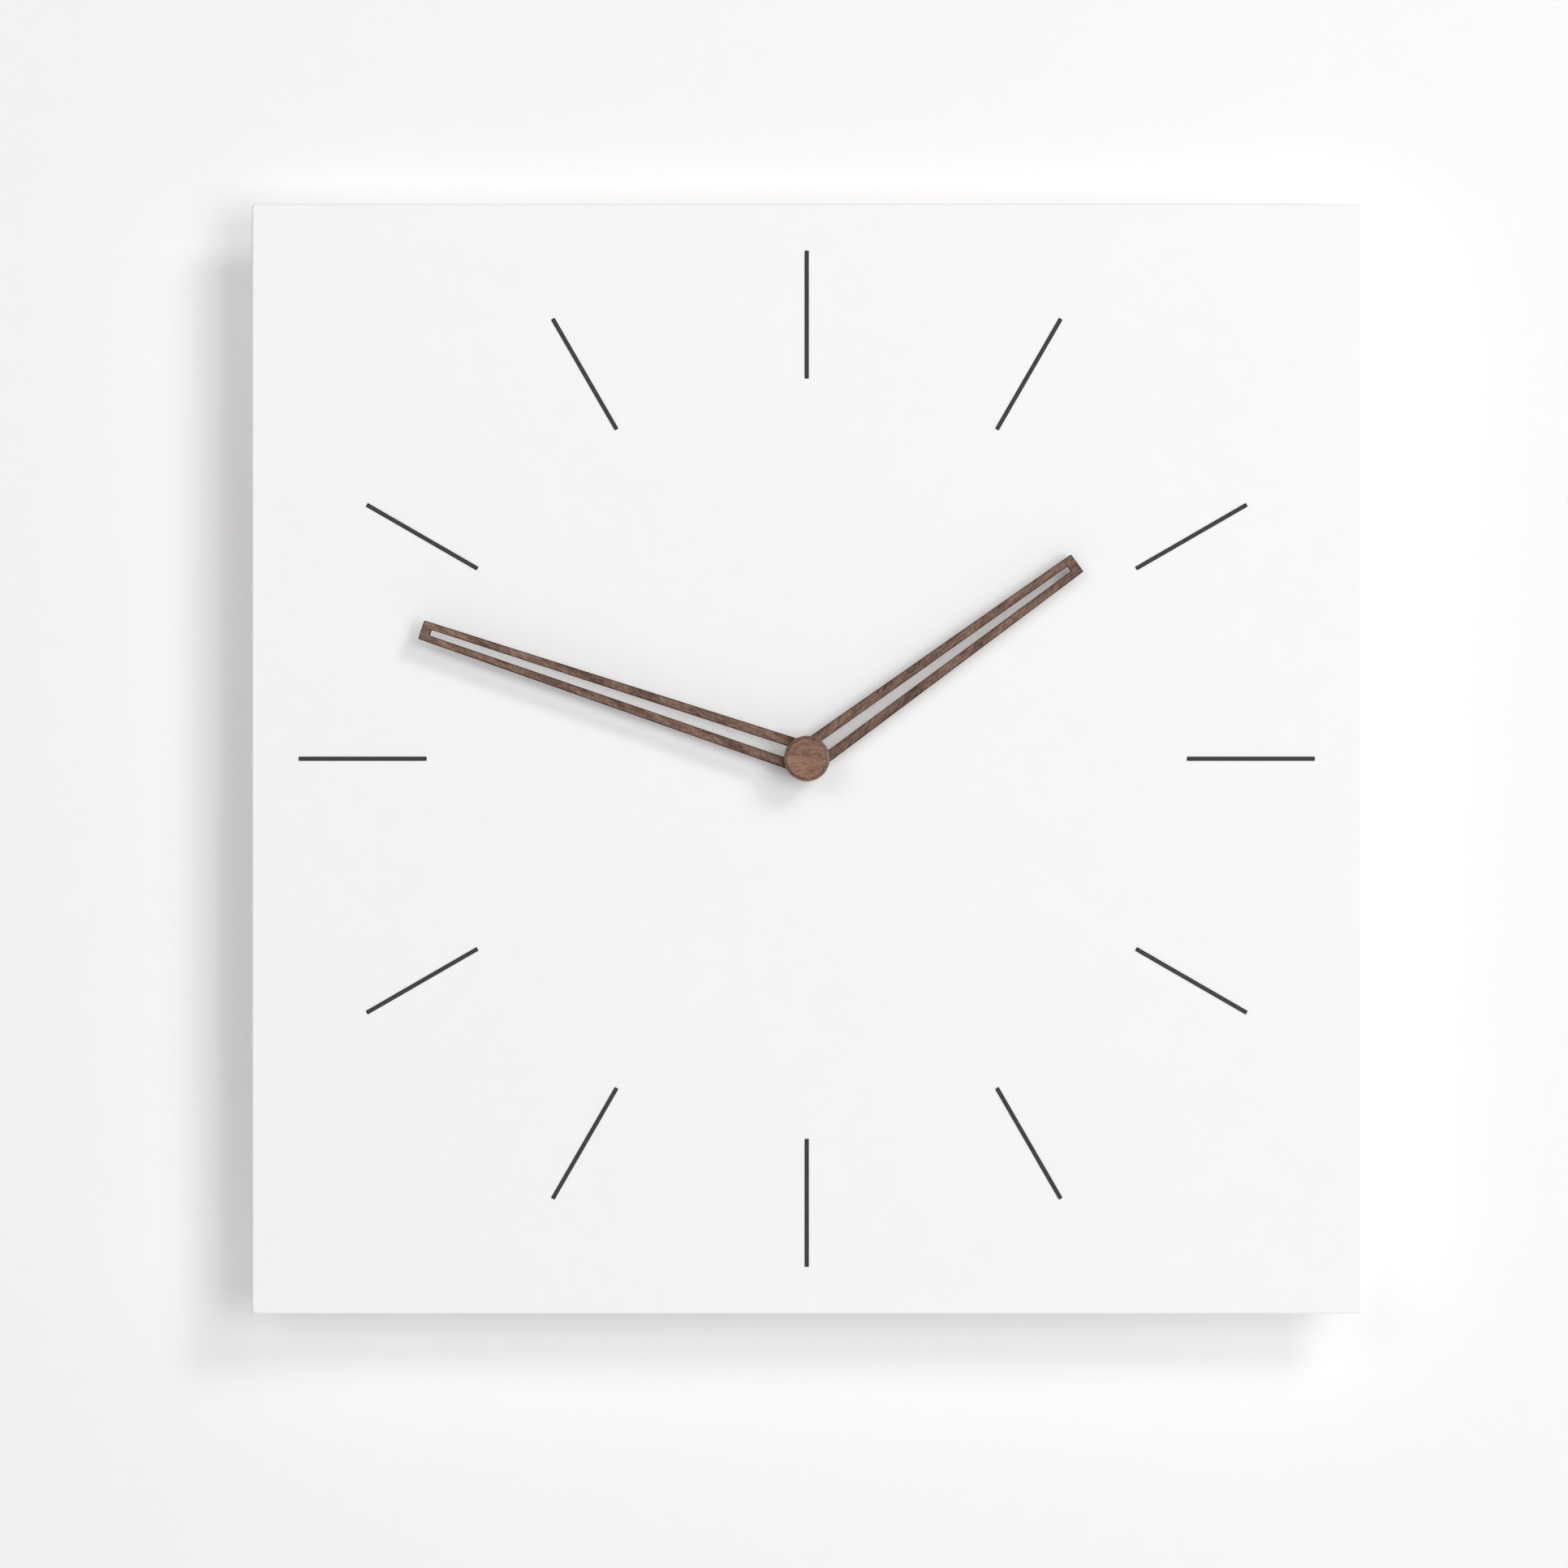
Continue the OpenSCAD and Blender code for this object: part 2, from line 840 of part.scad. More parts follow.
module battery() {
    color("#3a6f5d")
        translate([cell_plus - battery_len, -cell_depth, cell_at])
            rotate([0, 90, 0])
                union() {
                    cylinder(h = battery_len - nub_len, r = battery_d / 2);
                    cylinder(h = battery_len, r = nub_d / 2);
                }
}

// ---------- going train ----------

module rotor_magnet() {
    color("dimgray")
        ring(stator_back - 0.8, magnet_t, magnet_r, rotor_r, rotor_at);
}

module rotor_pinion() {
    color(nylon)
        union() {
            rod(pivot_back, rotor_front, rotor_r, rotor_at);
            gear(
                inter_layer - 0.2,
                wheel_t + 0.4,
                rotor_pinion_teeth,
                fast_module,
                pinion_addendum,
                rotor_dir + 180 + 180 / rotor_pinion_teeth,
                rotor_at
            );
        }
}

module intermediate_wheel() {
    color(nylon)
        difference() {
            union() {
                rod(pivot_back, pivot_front, pivot_r, inter_at);
                gear(inter_layer, wheel_t, inter_teeth, fast_module, wheel_addendum, rotor_dir, inter_at);
                ring(inter_layer, second_layer - inter_layer, 1.4, 0, inter_at);
                gear(
                    second_layer - 0.2,
                    wheel_t + 0.4,
                    inter_pinion_teeth,
                    fast_module,
                    pinion_addendum,
                    inter_dir + 180 + 180 / inter_pinion_teeth,
                    inter_at
                );
            }
            windows(inter_layer, 5, 1.7, 4.8, inter_at);
        }
}

module second_wheel() {
    color(nylon)
        difference() {
            union() {
                rod(pivot_back, hour_layer, second_r, [0, 0]);
                gear(second_layer, wheel_t, second_teeth, fast_module, wheel_addendum, inter_dir, [0, 0]);
                gear(
                    second_layer + wheel_t - small,
                    third_layer + wheel_t + 0.3 - second_layer - wheel_t,
                    second_pinion_teeth,
                    third_module,
                    pinion_addendum,
                    third_dir + 180 / second_pinion_teeth,
                    [0, 0]
                );
            }
            windows(second_layer, 5, 2.2, 5.8, [0, 0]);
        }
}

module third_wheel() {
    color(nylon)
        difference() {
            union() {
                rod(pivot_back, pivot_front, pivot_r, third_at);
                gear(third_layer, wheel_t, third_teeth, third_module, wheel_addendum, third_dir + 180, third_at);
                gear(
                    third_layer + wheel_t - small,
                    centre_layer + thick_wheel_t + 0.3 - third_layer - wheel_t,
                    third_pinion_teeth,
                    train_module,
                    pinion_addendum,
                    third_dir + 180 + 180 / third_pinion_teeth,
                    third_at
                );
            }
            windows(third_layer, 5, 2.2, 5.8, third_at);
        }
}

module centre_wheel() {
    color(brass)
        difference() {
            gear(centre_layer, thick_wheel_t, centre_teeth, train_module, wheel_addendum, third_dir, [0, 0]);
            rod(centre_layer - 1, centre_layer + 3, minute_r);
            windows(centre_layer, 5, 2.2, 5.8, [0, 0]);
        }
}

module minute_arbor() {
    bore_end = hour_layer + 0.4;
    color(steel)
        difference() {
            union() {
                rod(centre_layer - 0.2, arbor_front, minute_r);
                gear(
                    motion_layer,
                    thick_wheel_t,
                    cannon_teeth,
                    motion_module,
                    pinion_addendum,
                    motion_dir + 180 / cannon_teeth,
                    [0, 0]
                );
            }
            rod(centre_layer - 1, bore_end, second_r + pivot_gap);
        }
}

// ---------- wheels behind the hands ----------

module reduction_wheel() {
    color(nylon)
        difference() {
            union() {
                gear(
                    motion_layer,
                    thick_wheel_t,
                    reduction_teeth,
                    motion_module,
                    wheel_addendum,
                    motion_dir + 180,
                    motion_at
                );
                gear(
                    motion_layer + thick_wheel_t - small,
                    hour_layer + wheel_t - motion_layer - thick_wheel_t,
                    reduction_pinion_teeth,
                    hour_module,
                    pinion_addendum,
                    motion_dir + 180 + 180 / reduction_pinion_teeth,
                    motion_at
                );
            }
            rod(motion_layer - 1, plate_inner, post_r + pivot_gap, motion_at);
        }
}

module hour_wheel() {
    color(nylon)
        difference() {
            union() {
                gear(hour_layer, wheel_t, hour_teeth, hour_module, wheel_addendum, motion_dir, [0, 0]);
                rod(hour_layer, hour_tube_front, hour_tube_r);
            }
            rod(hour_layer - 1, hour_tube_front + 1, hour_bore_r);
        }
}

module setting_arbor() {
    color(steel)
        union() {
            rod(knob_back + knob_t / 3, pivot_front, setting_r, setting_at);
            gear(
                motion_layer,
                thick_wheel_t,
                setting_teeth,
                motion_module,
                pinion_addendum,
                mesh_phase(setting_dir, motion_dir + 180, reduction_teeth, setting_teeth),
                setting_at
            );
        }
}

module setting_knob() {
    grips = 18;
    color(case_grey)
        difference() {
            ring(knob_back, knob_t, knob_d / 2, 0, setting_at);
            rod(knob_back + knob_t / 3, knob_back + knob_t + 1, setting_r, setting_at);
            for (i = [0:grips - 1])
                rod(
                    knob_back - 1,
                    knob_back + knob_t + 1,
                    0.4,
                    setting_at + polar(knob_d / 2 + 0.1, 360 * i / grips)
                );
        }
}

// ---------- hands ----------

// half the width of a straight taper at a distance from the axis
function taper(root, tip, long, s) = (root + (tip - root) * s / long) / 2;

module hand(depth, angle, long, tip_w, bush_r) {
    slot_end = long - tip_bar;
    facing(depth)
        rotate([0, 0, -angle])
            difference() {
                union() {
                    linear_extrude(height = hand_t)
                        polygon([
                            [-hand_root_w / 2, 0],
                            [hand_root_w / 2, 0],
                            [tip_w / 2, long],
                            [-tip_w / 2, long]
                        ]);
                    cylinder(h = hand_t, r = hub_d / 2);
                }
                translate([0, 0, -1])
                    linear_extrude(height = hand_t + 2)
                        polygon([
                            [-taper(slot_root_w, slot_tip_w, slot_end, slot_start), slot_start],
                            [taper(slot_root_w, slot_tip_w, slot_end, slot_start), slot_start],
                            [slot_tip_w / 2, slot_end],
                            [-slot_tip_w / 2, slot_end]
                        ]);
                translate([0, 0, -1])
                    cylinder(h = hand_t + 2, r = bush_r);
            }
}

module hour_hand() {
    color(walnut)
        hand(hour_hand_back, hour_angle, hour_len, hour_tip_w, hour_bush_r);
}

module minute_hand() {
    color(walnut)
        hand(minute_hand_back, minute_angle, minute_len, minute_tip_w, minute_bush_r);
}

// flanged bush that a hand turns with
module hand_bush(depth, outer, inner) {
    color(brass)
        union() {
            ring(depth, flange_t, hand_flange_r, inner);
            ring(depth, flange_t + hand_t + bush_proud, outer, inner);
        }
}

module hand_nut() {
    color(brass)
        facing(hand_nut_back)
            difference() {
                cylinder(h = hand_nut_t, r = 3.1, $fn = 6);
                translate([0, 0, -1])
                    cylinder(h = hand_nut_t + 2, r = minute_r);
            }
}

module centre_cap() {
    color(walnut)
        difference() {
            facing(minute_hand_front)
                union() {
                    cylinder(h = cap_t - cap_edge, r = cap_d / 2);
                    translate([0, 0, cap_t - cap_edge])
                        cylinder(h = cap_edge, r1 = cap_d / 2, r2 = cap_d / 2 - cap_edge);
                }
            rod(minute_hand_front - 1, cap_bore_front, 3.4);
        }
}

// ---------- assembly ----------

dial_panel();
for (number = mark_numbers) {
    hour_mark(number);
}
frame_top_rail();
frame_bottom_rail();
side_rail(-1);  // frame_left_rail
side_rail(1);  // frame_right_rail
frame_screws();
hanger_plate();
hanger_screws();
wall_bumpers();
movement_case();
movement_cover();
threaded_bush();
rubber_washer();
brass_washer();
hex_nut();
stator_plate();
coil_core();
coil_bobbin();
coil_winding();
circuit_board();
driver_chip();
quartz_crystal();
positive_contact();
negative_plate();
negative_spring();
battery();
rotor_magnet();
rotor_pinion();
intermediate_wheel();
second_wheel();
third_wheel();
centre_wheel();
minute_arbor();
reduction_wheel();
hour_wheel();
setting_arbor();
setting_knob();
hour_hand();
hand_bush(hour_flange, hour_bush_r, hour_tube_r);  // hour_hand_bush
minute_hand();
hand_bush(minute_flange, minute_bush_r, minute_r);  // minute_hand_bush
hand_nut();
centre_cap();
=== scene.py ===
import json
import math
import bmesh
import bpy
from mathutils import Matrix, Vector

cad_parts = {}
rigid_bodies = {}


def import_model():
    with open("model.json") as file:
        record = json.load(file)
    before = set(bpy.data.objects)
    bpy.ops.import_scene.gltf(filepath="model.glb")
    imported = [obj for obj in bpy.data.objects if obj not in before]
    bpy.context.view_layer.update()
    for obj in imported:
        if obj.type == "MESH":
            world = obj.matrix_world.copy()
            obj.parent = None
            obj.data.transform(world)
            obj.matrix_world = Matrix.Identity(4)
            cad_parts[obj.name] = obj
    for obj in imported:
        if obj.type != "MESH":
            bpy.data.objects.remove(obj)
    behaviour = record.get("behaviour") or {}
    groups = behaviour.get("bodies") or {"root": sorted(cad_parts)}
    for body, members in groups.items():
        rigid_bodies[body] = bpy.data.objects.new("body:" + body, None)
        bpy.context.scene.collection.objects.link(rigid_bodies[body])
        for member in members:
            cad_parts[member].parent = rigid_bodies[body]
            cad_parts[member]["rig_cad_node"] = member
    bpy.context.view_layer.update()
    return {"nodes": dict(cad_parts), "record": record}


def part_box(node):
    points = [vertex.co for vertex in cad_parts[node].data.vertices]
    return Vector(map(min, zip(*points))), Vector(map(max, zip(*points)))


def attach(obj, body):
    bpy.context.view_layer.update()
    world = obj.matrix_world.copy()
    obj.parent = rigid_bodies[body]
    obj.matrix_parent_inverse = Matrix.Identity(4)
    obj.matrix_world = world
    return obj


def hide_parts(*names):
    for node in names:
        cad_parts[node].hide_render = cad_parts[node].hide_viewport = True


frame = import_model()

mm = 0.001
clockBody = "clock_body"


def selectOnly(*objects):
    bpy.ops.object.select_all(action="DESELECT")
    for item in objects:
        item.select_set(True)
    bpy.context.view_layer.objects.active = objects[0]


def settle(item):        # turn and place go into the mesh
    selectOnly(item)
    bpy.ops.object.transform_apply(location=True, rotation=True, scale=True)


def depthSpan(node):
    low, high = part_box(node)
    return -high.y, -low.y        # how far its back and its front stand off the wall


def centreOf(node):
    low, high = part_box(node)
    return (low + high) / 2


def addBox(name, low, high):
    low, high = Vector(low), Vector(high)
    bpy.ops.mesh.primitive_cube_add(size=1, location=(low + high) / 2, scale=high - low)
    box = bpy.context.active_object
    box.name = name
    settle(box)
    return box


def addRod(name, x, z, back, front, radius, sides=48):
    bpy.ops.mesh.primitive_cylinder_add(
        vertices=sides, radius=radius, depth=front - back,
        location=(x, -(back + front) / 2, z), rotation=(math.pi / 2, 0, 0))
    rod = bpy.context.active_object
    rod.name = name
    settle(rod)
    return rod


def startEdit(item, kind):
    selectOnly(item)
    bpy.ops.object.mode_set(mode="EDIT")
    bpy.ops.mesh.select_mode(type=kind)
    bpy.ops.mesh.select_all(action="DESELECT")
    return bmesh.from_edit_mesh(item.data)


def endEdit():
    bpy.ops.object.mode_set(mode="OBJECT")


def pickEdges(item, wanted):
    work = startEdit(item, "EDGE")
    for edge in work.edges:
        ends = [v.co for v in edge.verts]
        edge.select_set(wanted((ends[0] + ends[1]) / 2, (ends[1] - ends[0]).normalized()))
    bmesh.update_edit_mesh(item.data)


def roundPicked(width, segments):
    bpy.ops.mesh.bevel(offset=width, segments=segments, affect="EDGES", profile=0.5)
    endEdit()


def roundCorners(item, width, segments):        # the edges that run straight out of the wall
    pickEdges(item, lambda place, along: abs(along.y) > 0.9)
    roundPicked(width, segments)


def roundFront(item, width, segments):
    work = startEdit(item, "FACE")
    for face in work.faces:
        face.select_set(face.normal.y < -0.9)
    bmesh.update_edit_mesh(item.data)
    bpy.ops.mesh.region_to_loop()
    roundPicked(width, segments)


def applyModifier(item, kind, **settings):
    selectOnly(item)
    added = item.modifiers.new(kind.title(), kind)
    for name, value in settings.items():
        setattr(added, name, value)
    bpy.ops.object.modifier_apply(modifier=added.name)


def joinAll(items):
    selectOnly(*items)
    if len(items) > 1:
        bpy.ops.object.join()
    return bpy.context.view_layer.objects.active


def combine(item, tool, how="DIFFERENCE"):
    applyModifier(item, "BOOLEAN", object=tool, operation=how, solver="EXACT")
    bpy.data.objects.remove(tool, do_unlink=True)


def cleanMesh(item, gap=0.002 * mm):
    startEdit(item, "VERT")
    bpy.ops.mesh.select_all(action="SELECT")
    bpy.ops.mesh.remove_doubles(threshold=gap)
    bpy.ops.mesh.dissolve_degenerate(threshold=gap)
    bpy.ops.mesh.select_all(action="SELECT")
    bpy.ops.mesh.normals_make_consistent(inside=False)
    endEdit()


def easeEdges(item, width, angle):
    applyModifier(
        item, "BEVEL", width=width, segments=2, limit_method="ANGLE",
        angle_limit=math.radians(angle), harden_normals=False)


def smoothShape(item, angle):
    selectOnly(item)
    bpy.ops.object.shade_smooth_by_angle(angle=math.radians(angle), keep_sharp_edges=False)
    applyModifier(item, "WEIGHTED_NORMAL", keep_sharp=True, weight=80)


def ownCopy(item, name):
    twin = item.copy()
    twin.data = item.data.copy()
    twin.name = name
    bpy.context.scene.collection.objects.link(twin)
    return twin


def turnAboutAxis(item, angle):        # clockwise as the dial is read
    item.rotation_euler = (0, math.radians(angle), 0)
    settle(item)


def quarterArc(steps):
    return [math.pi / 2 * k / steps for k in range(steps + 1)]


# a piece turned on a lathe: the profile holds (radius, place along the axis)
def turnPiece(name, profile, centre, axis="Y", steps=64):
    centre = Vector(centre)
    if axis == "Y":
        points = [Vector((centre.x + radius, -along, centre.z)) for radius, along in profile]
    else:
        points = [Vector((along, centre.y, centre.z + radius)) for radius, along in profile]
    if profile[0][0] > 0 or profile[-1][0] > 0:
        points.append(points[0])        # the outline closes away from the axis
    bpy.ops.mesh.primitive_plane_add(size=mm, location=points[0])
    piece = bpy.context.active_object
    piece.name = name
    settle(piece)
    startEdit(piece, "VERT")
    bpy.ops.mesh.select_all(action="SELECT")
    bpy.ops.mesh.merge(type="CENTER")
    for first, second in zip(points, points[1:]):
        bpy.ops.mesh.extrude_region_move(TRANSFORM_OT_translate={"value": second - first})
    bpy.ops.mesh.select_all(action="SELECT")
    bpy.ops.mesh.spin(
        steps=steps, angle=2 * math.pi, center=centre,
        axis=(0, 1, 0) if axis == "Y" else (1, 0, 0), use_auto_merge=True)
    endEdit()
    cleanMesh(piece)
    return piece


def finishPiece(item, body, materials, node):
    settle(item)
    item.data.name = item.name
    for material in materials if isinstance(materials, list) else [materials]:
        item.data.materials.append(material)
    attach(item, body)
    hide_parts(node)


# faces that look out of the dial keep the first material, and the rest get the second, a darker one as
# painted shade
def paintSides(item, facing=0.9):
    for face in item.data.polygons:
        face.material_index = 0 if abs(face.normal.y) > facing else 1


def addNode(tree, kind, links=None, **settings):
    made = tree.nodes.new(kind)
    for name, value in settings.items():
        setattr(made, name, value)
    for name, value in (links or {}).items():
        if isinstance(value, bpy.types.NodeSocket):
            tree.links.new(value, made.inputs[name])
        else:
            made.inputs[name].default_value = value
    return made


def startGroup(name, inputs, outputs):
    tree = bpy.data.node_groups.new(name, "ShaderNodeTree")
    for label, kind, value in inputs:
        socket = tree.interface.new_socket(label, in_out="INPUT", socket_type="NodeSocket" + kind)
        if value is not None:
            socket.default_value = value
    for label, kind in outputs:
        tree.interface.new_socket(label, in_out="OUTPUT", socket_type="NodeSocket" + kind)
    return tree, tree.nodes.new("NodeGroupInput").outputs, tree.nodes.new("NodeGroupOutput").inputs


def stretch(tree, vector, scale):
    return addNode(tree, "ShaderNodeVectorMath", {0: vector, 1: scale}, operation="MULTIPLY").outputs[0]


def noiseOf(tree, vector, detail=3.0, roughness=0.55, distortion=0.0, scale=1.0):
    return addNode(tree, "ShaderNodeTexNoise", {
        "Vector": vector, "Scale": scale, "Detail": detail,
        "Roughness": roughness, "Distortion": distortion}).outputs["Fac"]


def rangeOf(tree, value, low, high, newLow=0.0, newHigh=1.0):
    return addNode(tree, "ShaderNodeMapRange", {
        "Value": value, "From Min": low, "From Max": high, "To Min": newLow, "To Max": newHigh}).outputs[0]


def mathOf(tree, operation, first, second):
    return addNode(tree, "ShaderNodeMath", {0: first, 1: second}, operation=operation).outputs[0]


def shifted(tree, vector, centre):
    return addNode(tree, "ShaderNodeVectorMath", {0: vector, 1: centre}, operation="SUBTRACT").outputs[0]


def scaled(tree, vector, factor):
    return addNode(tree, "ShaderNodeVectorMath", {0: vector, "Scale": factor}, operation="SCALE").outputs[0]


# the first value's share, with the second making up the rest
def weigh(tree, first, second, share):
    links = {0: first, 1: share, 2: mathOf(tree, "MULTIPLY", second, 1 - share)}
    return addNode(tree, "ShaderNodeMath", links, operation="MULTIPLY_ADD").outputs[0]


def mixColours(tree, share, first, second):
    return addNode(tree, "ShaderNodeMix", {0: share, 6: first, 7: second}, data_type="RGBA").outputs[2]


figureLook = {                           # how finely each field varies along X, Y and Z, per metre
    "drift": (260, 260, 110),
    "streaks": (2600, 2600, 330),
    "broad": (300, 300, 60),
    "flecks": (4200, 4200, 480),
    "driftReach": 0.003,
}


# wood with its grain along Z: wavy streaks, short dark pores and slow changes of tone
def makeWoodFigure():
    look = figureLook
    tree, given, wanted = startGroup(
        "woodFigure",
        [("Vector", "Vector", None), ("Fineness", "Float", 1.0), ("Dark", "Color", (0.1, 0.05, 0.03, 1)),
         ("Light", "Color", (0.3, 0.2, 0.13, 1)), ("Pore Tone", "Color", (0.05, 0.03, 0.02, 1)),
         ("Pores", "Float", 0.5), ("Wave", "Float", 1.0)],
        [("Color", "Color"), ("Tone", "Float"), ("Height", "Float")])
    sized = scaled(tree, given["Vector"], given["Fineness"])
    drift = addNode(tree, "ShaderNodeTexNoise", {
        "Vector": stretch(tree, sized, look["drift"]), "Scale": 1.0, "Detail": 2.0}).outputs["Color"]
    centred = shifted(tree, drift, (0.5, 0.5, 0.5))
    waved = scaled(tree, centred, mathOf(tree, "MULTIPLY", given["Wave"], look["driftReach"]))
    grain = addNode(tree, "ShaderNodeVectorMath", {0: sized, 1: waved}, operation="ADD").outputs[0]
    streaks = noiseOf(tree, stretch(tree, grain, look["streaks"]), 3.0, 0.65, 0.1)
    broad = noiseOf(tree, stretch(tree, grain, look["broad"]), 2.0)
    flecks = noiseOf(tree, stretch(tree, grain, look["flecks"]), 2.0, 0.5)
    spread = rangeOf(tree, weigh(tree, streaks, broad, 0.55), 0.36, 0.64)
    pores = rangeOf(tree, flecks, 0.52, 0.64)
    plain = mixColours(tree, spread, given["Dark"], given["Light"])
    depth = mathOf(tree, "MULTIPLY", pores, given["Pores"])
    tree.links.new(mixColours(tree, depth, plain, given["Pore Tone"]), wanted["Color"])
    tree.links.new(spread, wanted["Tone"])
    tree.links.new(mathOf(tree, "SUBTRACT", spread, depth), wanted["Height"])
    return tree


# even, fine unevenness: paint, moulded plastic, rubber
def makeFineGrit():
    tree, given, wanted = startGroup(
        "fineGrit", [("Vector", "Vector", None), ("Size", "Float", 1.0)],
        [("Tone", "Float"), ("Height", "Float")])
    sized = scaled(tree, given["Vector"], mathOf(tree, "DIVIDE", 1.0, given["Size"]))
    coarse = noiseOf(tree, scaled(tree, sized, 180), 3.0, 0.6)
    fine = noiseOf(tree, scaled(tree, sized, 1500), 2.0, 0.5)
    tree.links.new(rangeOf(tree, weigh(tree, coarse, fine, 0.6), 0.3, 0.7), wanted["Tone"])
    tree.links.new(fine, wanted["Height"])
    return tree


# fine rings left by a lathe round the Y axis, with faint smears across them
def makeTurnedRings():
    tree, given, wanted = startGroup(
        "turnedRings", [("Vector", "Vector", None), ("Pitch", "Float", 0.1)],
        [("Tone", "Float"), ("Height", "Float")])
    flat = stretch(tree, given["Vector"], (1, 0, 1))
    reach = addNode(tree, "ShaderNodeVectorMath", {0: flat}, operation="LENGTH").outputs["Value"]
    steps = mathOf(tree, "DIVIDE", mathOf(tree, "DIVIDE", reach, mm), given["Pitch"])
    rings = noiseOf(tree, addNode(tree, "ShaderNodeCombineXYZ", {"X": steps}).outputs[0], 2.0, 0.6)
    smear = noiseOf(tree, scaled(tree, given["Vector"], 500), 3.0)
    tree.links.new(weigh(tree, rings, smear, 0.6), wanted["Tone"])
    tree.links.new(rings, wanted["Height"])
    return tree


# long scratches along Z, as rolled or brushed sheet has
def makeBrushedLines():
    tree, given, wanted = startGroup(
        "brushedLines", [("Vector", "Vector", None)], [("Tone", "Float"), ("Height", "Float")])
    lines = noiseOf(tree, stretch(tree, given["Vector"], (5200, 5200, 90)), 3.0, 0.6)
    cloud = noiseOf(tree, scaled(tree, given["Vector"], 160), 3.0)
    tree.links.new(weigh(tree, lines, cloud, 0.55), wanted["Tone"])
    tree.links.new(lines, wanted["Height"])
    return tree


print("shader groups")
groups = {
    "wood": makeWoodFigure(),
    "grit": makeFineGrit(),
    "rings": makeTurnedRings(),
    "brushed": makeBrushedLines(),
}


def startMaterial(name, metallic=0.0, specular=0.5, coat=0.0):
    material = bpy.data.materials.new(name)
    material.use_nodes = True
    tree = material.node_tree
    tree.nodes.clear()
    end = tree.nodes.new("ShaderNodeOutputMaterial")
    shader = addNode(tree, "ShaderNodeBsdfPrincipled", {
        "Metallic": metallic, "Specular IOR Level": specular, "Coat Weight": coat})
    tree.links.new(shader.outputs["BSDF"], end.inputs["Surface"])
    return material, tree, shader


# the piece's own coordinates, moved, turned and stretched as its material needs
def placedOn(tree, turn=(0, 0, 0), centre=(0, 0, 0), size=(1, 1, 1)):
    moved = shifted(tree, addNode(tree, "ShaderNodeTexCoord").outputs["Object"], centre)
    spun = addNode(tree, "ShaderNodeMapping", {"Vector": moved, "Rotation": turn}).outputs[0]
    return stretch(tree, spun, size)


def useGroup(tree, name, links):
    return addNode(tree, "ShaderNodeGroup", links, node_tree=groups[name]).outputs


def bumpFrom(tree, shader, height, strength, distance):
    bump = addNode(tree, "ShaderNodeBump", {"Height": height, "Strength": strength, "Distance": distance})
    tree.links.new(bump.outputs["Normal"], shader.inputs["Normal"])


# the base colour runs between two tones, and the roughness between two values
def tintBy(tree, shader, share, first, second, rough):
    tree.links.new(mixColours(tree, share, (*first, 1), (*second, 1)), shader.inputs["Base Color"])
    tree.links.new(rangeOf(tree, share, 0, 1, *rough), shader.inputs["Roughness"])


def woodMaterial(name, tones, turn=(0, 0, 0), centre=(0, 0, 0), look=None):
    look = {"fineness": 1.0, "length": 1.0, "pores": 0.75, "wave": 1.0, "rough": (0.45, 0.62),
            "bump": 0.25, "shine": 0.3, **(look or {})}
    dark, light, pore = ((*tone, 1) for tone in tones)
    material, tree, shader = startMaterial(name, specular=look["shine"])
    wood = useGroup(tree, "wood", {
        "Vector": placedOn(tree, turn, centre, (1, 1, look["length"])), "Fineness": look["fineness"],
        "Dark": dark, "Light": light, "Pore Tone": pore, "Pores": look["pores"], "Wave": look["wave"]})
    smooth, coarse = look["rough"]
    tree.links.new(wood["Color"], shader.inputs["Base Color"])
    tree.links.new(rangeOf(tree, wood["Tone"], 0, 1, coarse, smooth), shader.inputs["Roughness"])
    bumpFrom(tree, shader, wood["Height"], look["bump"], 0.05 * mm)
    return material


def gritMaterial(name, first, second, size=1.0, rough=(0.4, 0.55), bump=0.1, depth=0.02, specular=0.5):
    material, tree, shader = startMaterial(name, specular=specular)
    grit = useGroup(tree, "grit", {"Vector": placedOn(tree), "Size": size})
    tintBy(tree, shader, grit["Tone"], first, second, rough)
    bumpFrom(tree, shader, grit["Height"], bump, depth * mm)
    return material


def turnedMaterial(name, first, second, rough=(0.18, 0.34), pitch=0.12):
    material, tree, shader = startMaterial(name, metallic=1.0)
    rings = useGroup(tree, "rings", {"Vector": placedOn(tree), "Pitch": pitch})
    tintBy(tree, shader, rangeOf(tree, rings["Tone"], 0.35, 0.65), first, second, rough)
    bumpFrom(tree, shader, rings["Height"], 0.15, 0.01 * mm)
    return material


def brushedMaterial(name, first, second, rough=(0.25, 0.42), turn=(0, 0, 0)):
    material, tree, shader = startMaterial(name, metallic=1.0)
    lines = useGroup(tree, "brushed", {"Vector": placedOn(tree, turn)})
    tintBy(tree, shader, rangeOf(tree, lines["Tone"], 0.35, 0.65), first, second, rough)
    bumpFrom(tree, shader, lines["Height"], 0.12, 0.008 * mm)
    return material


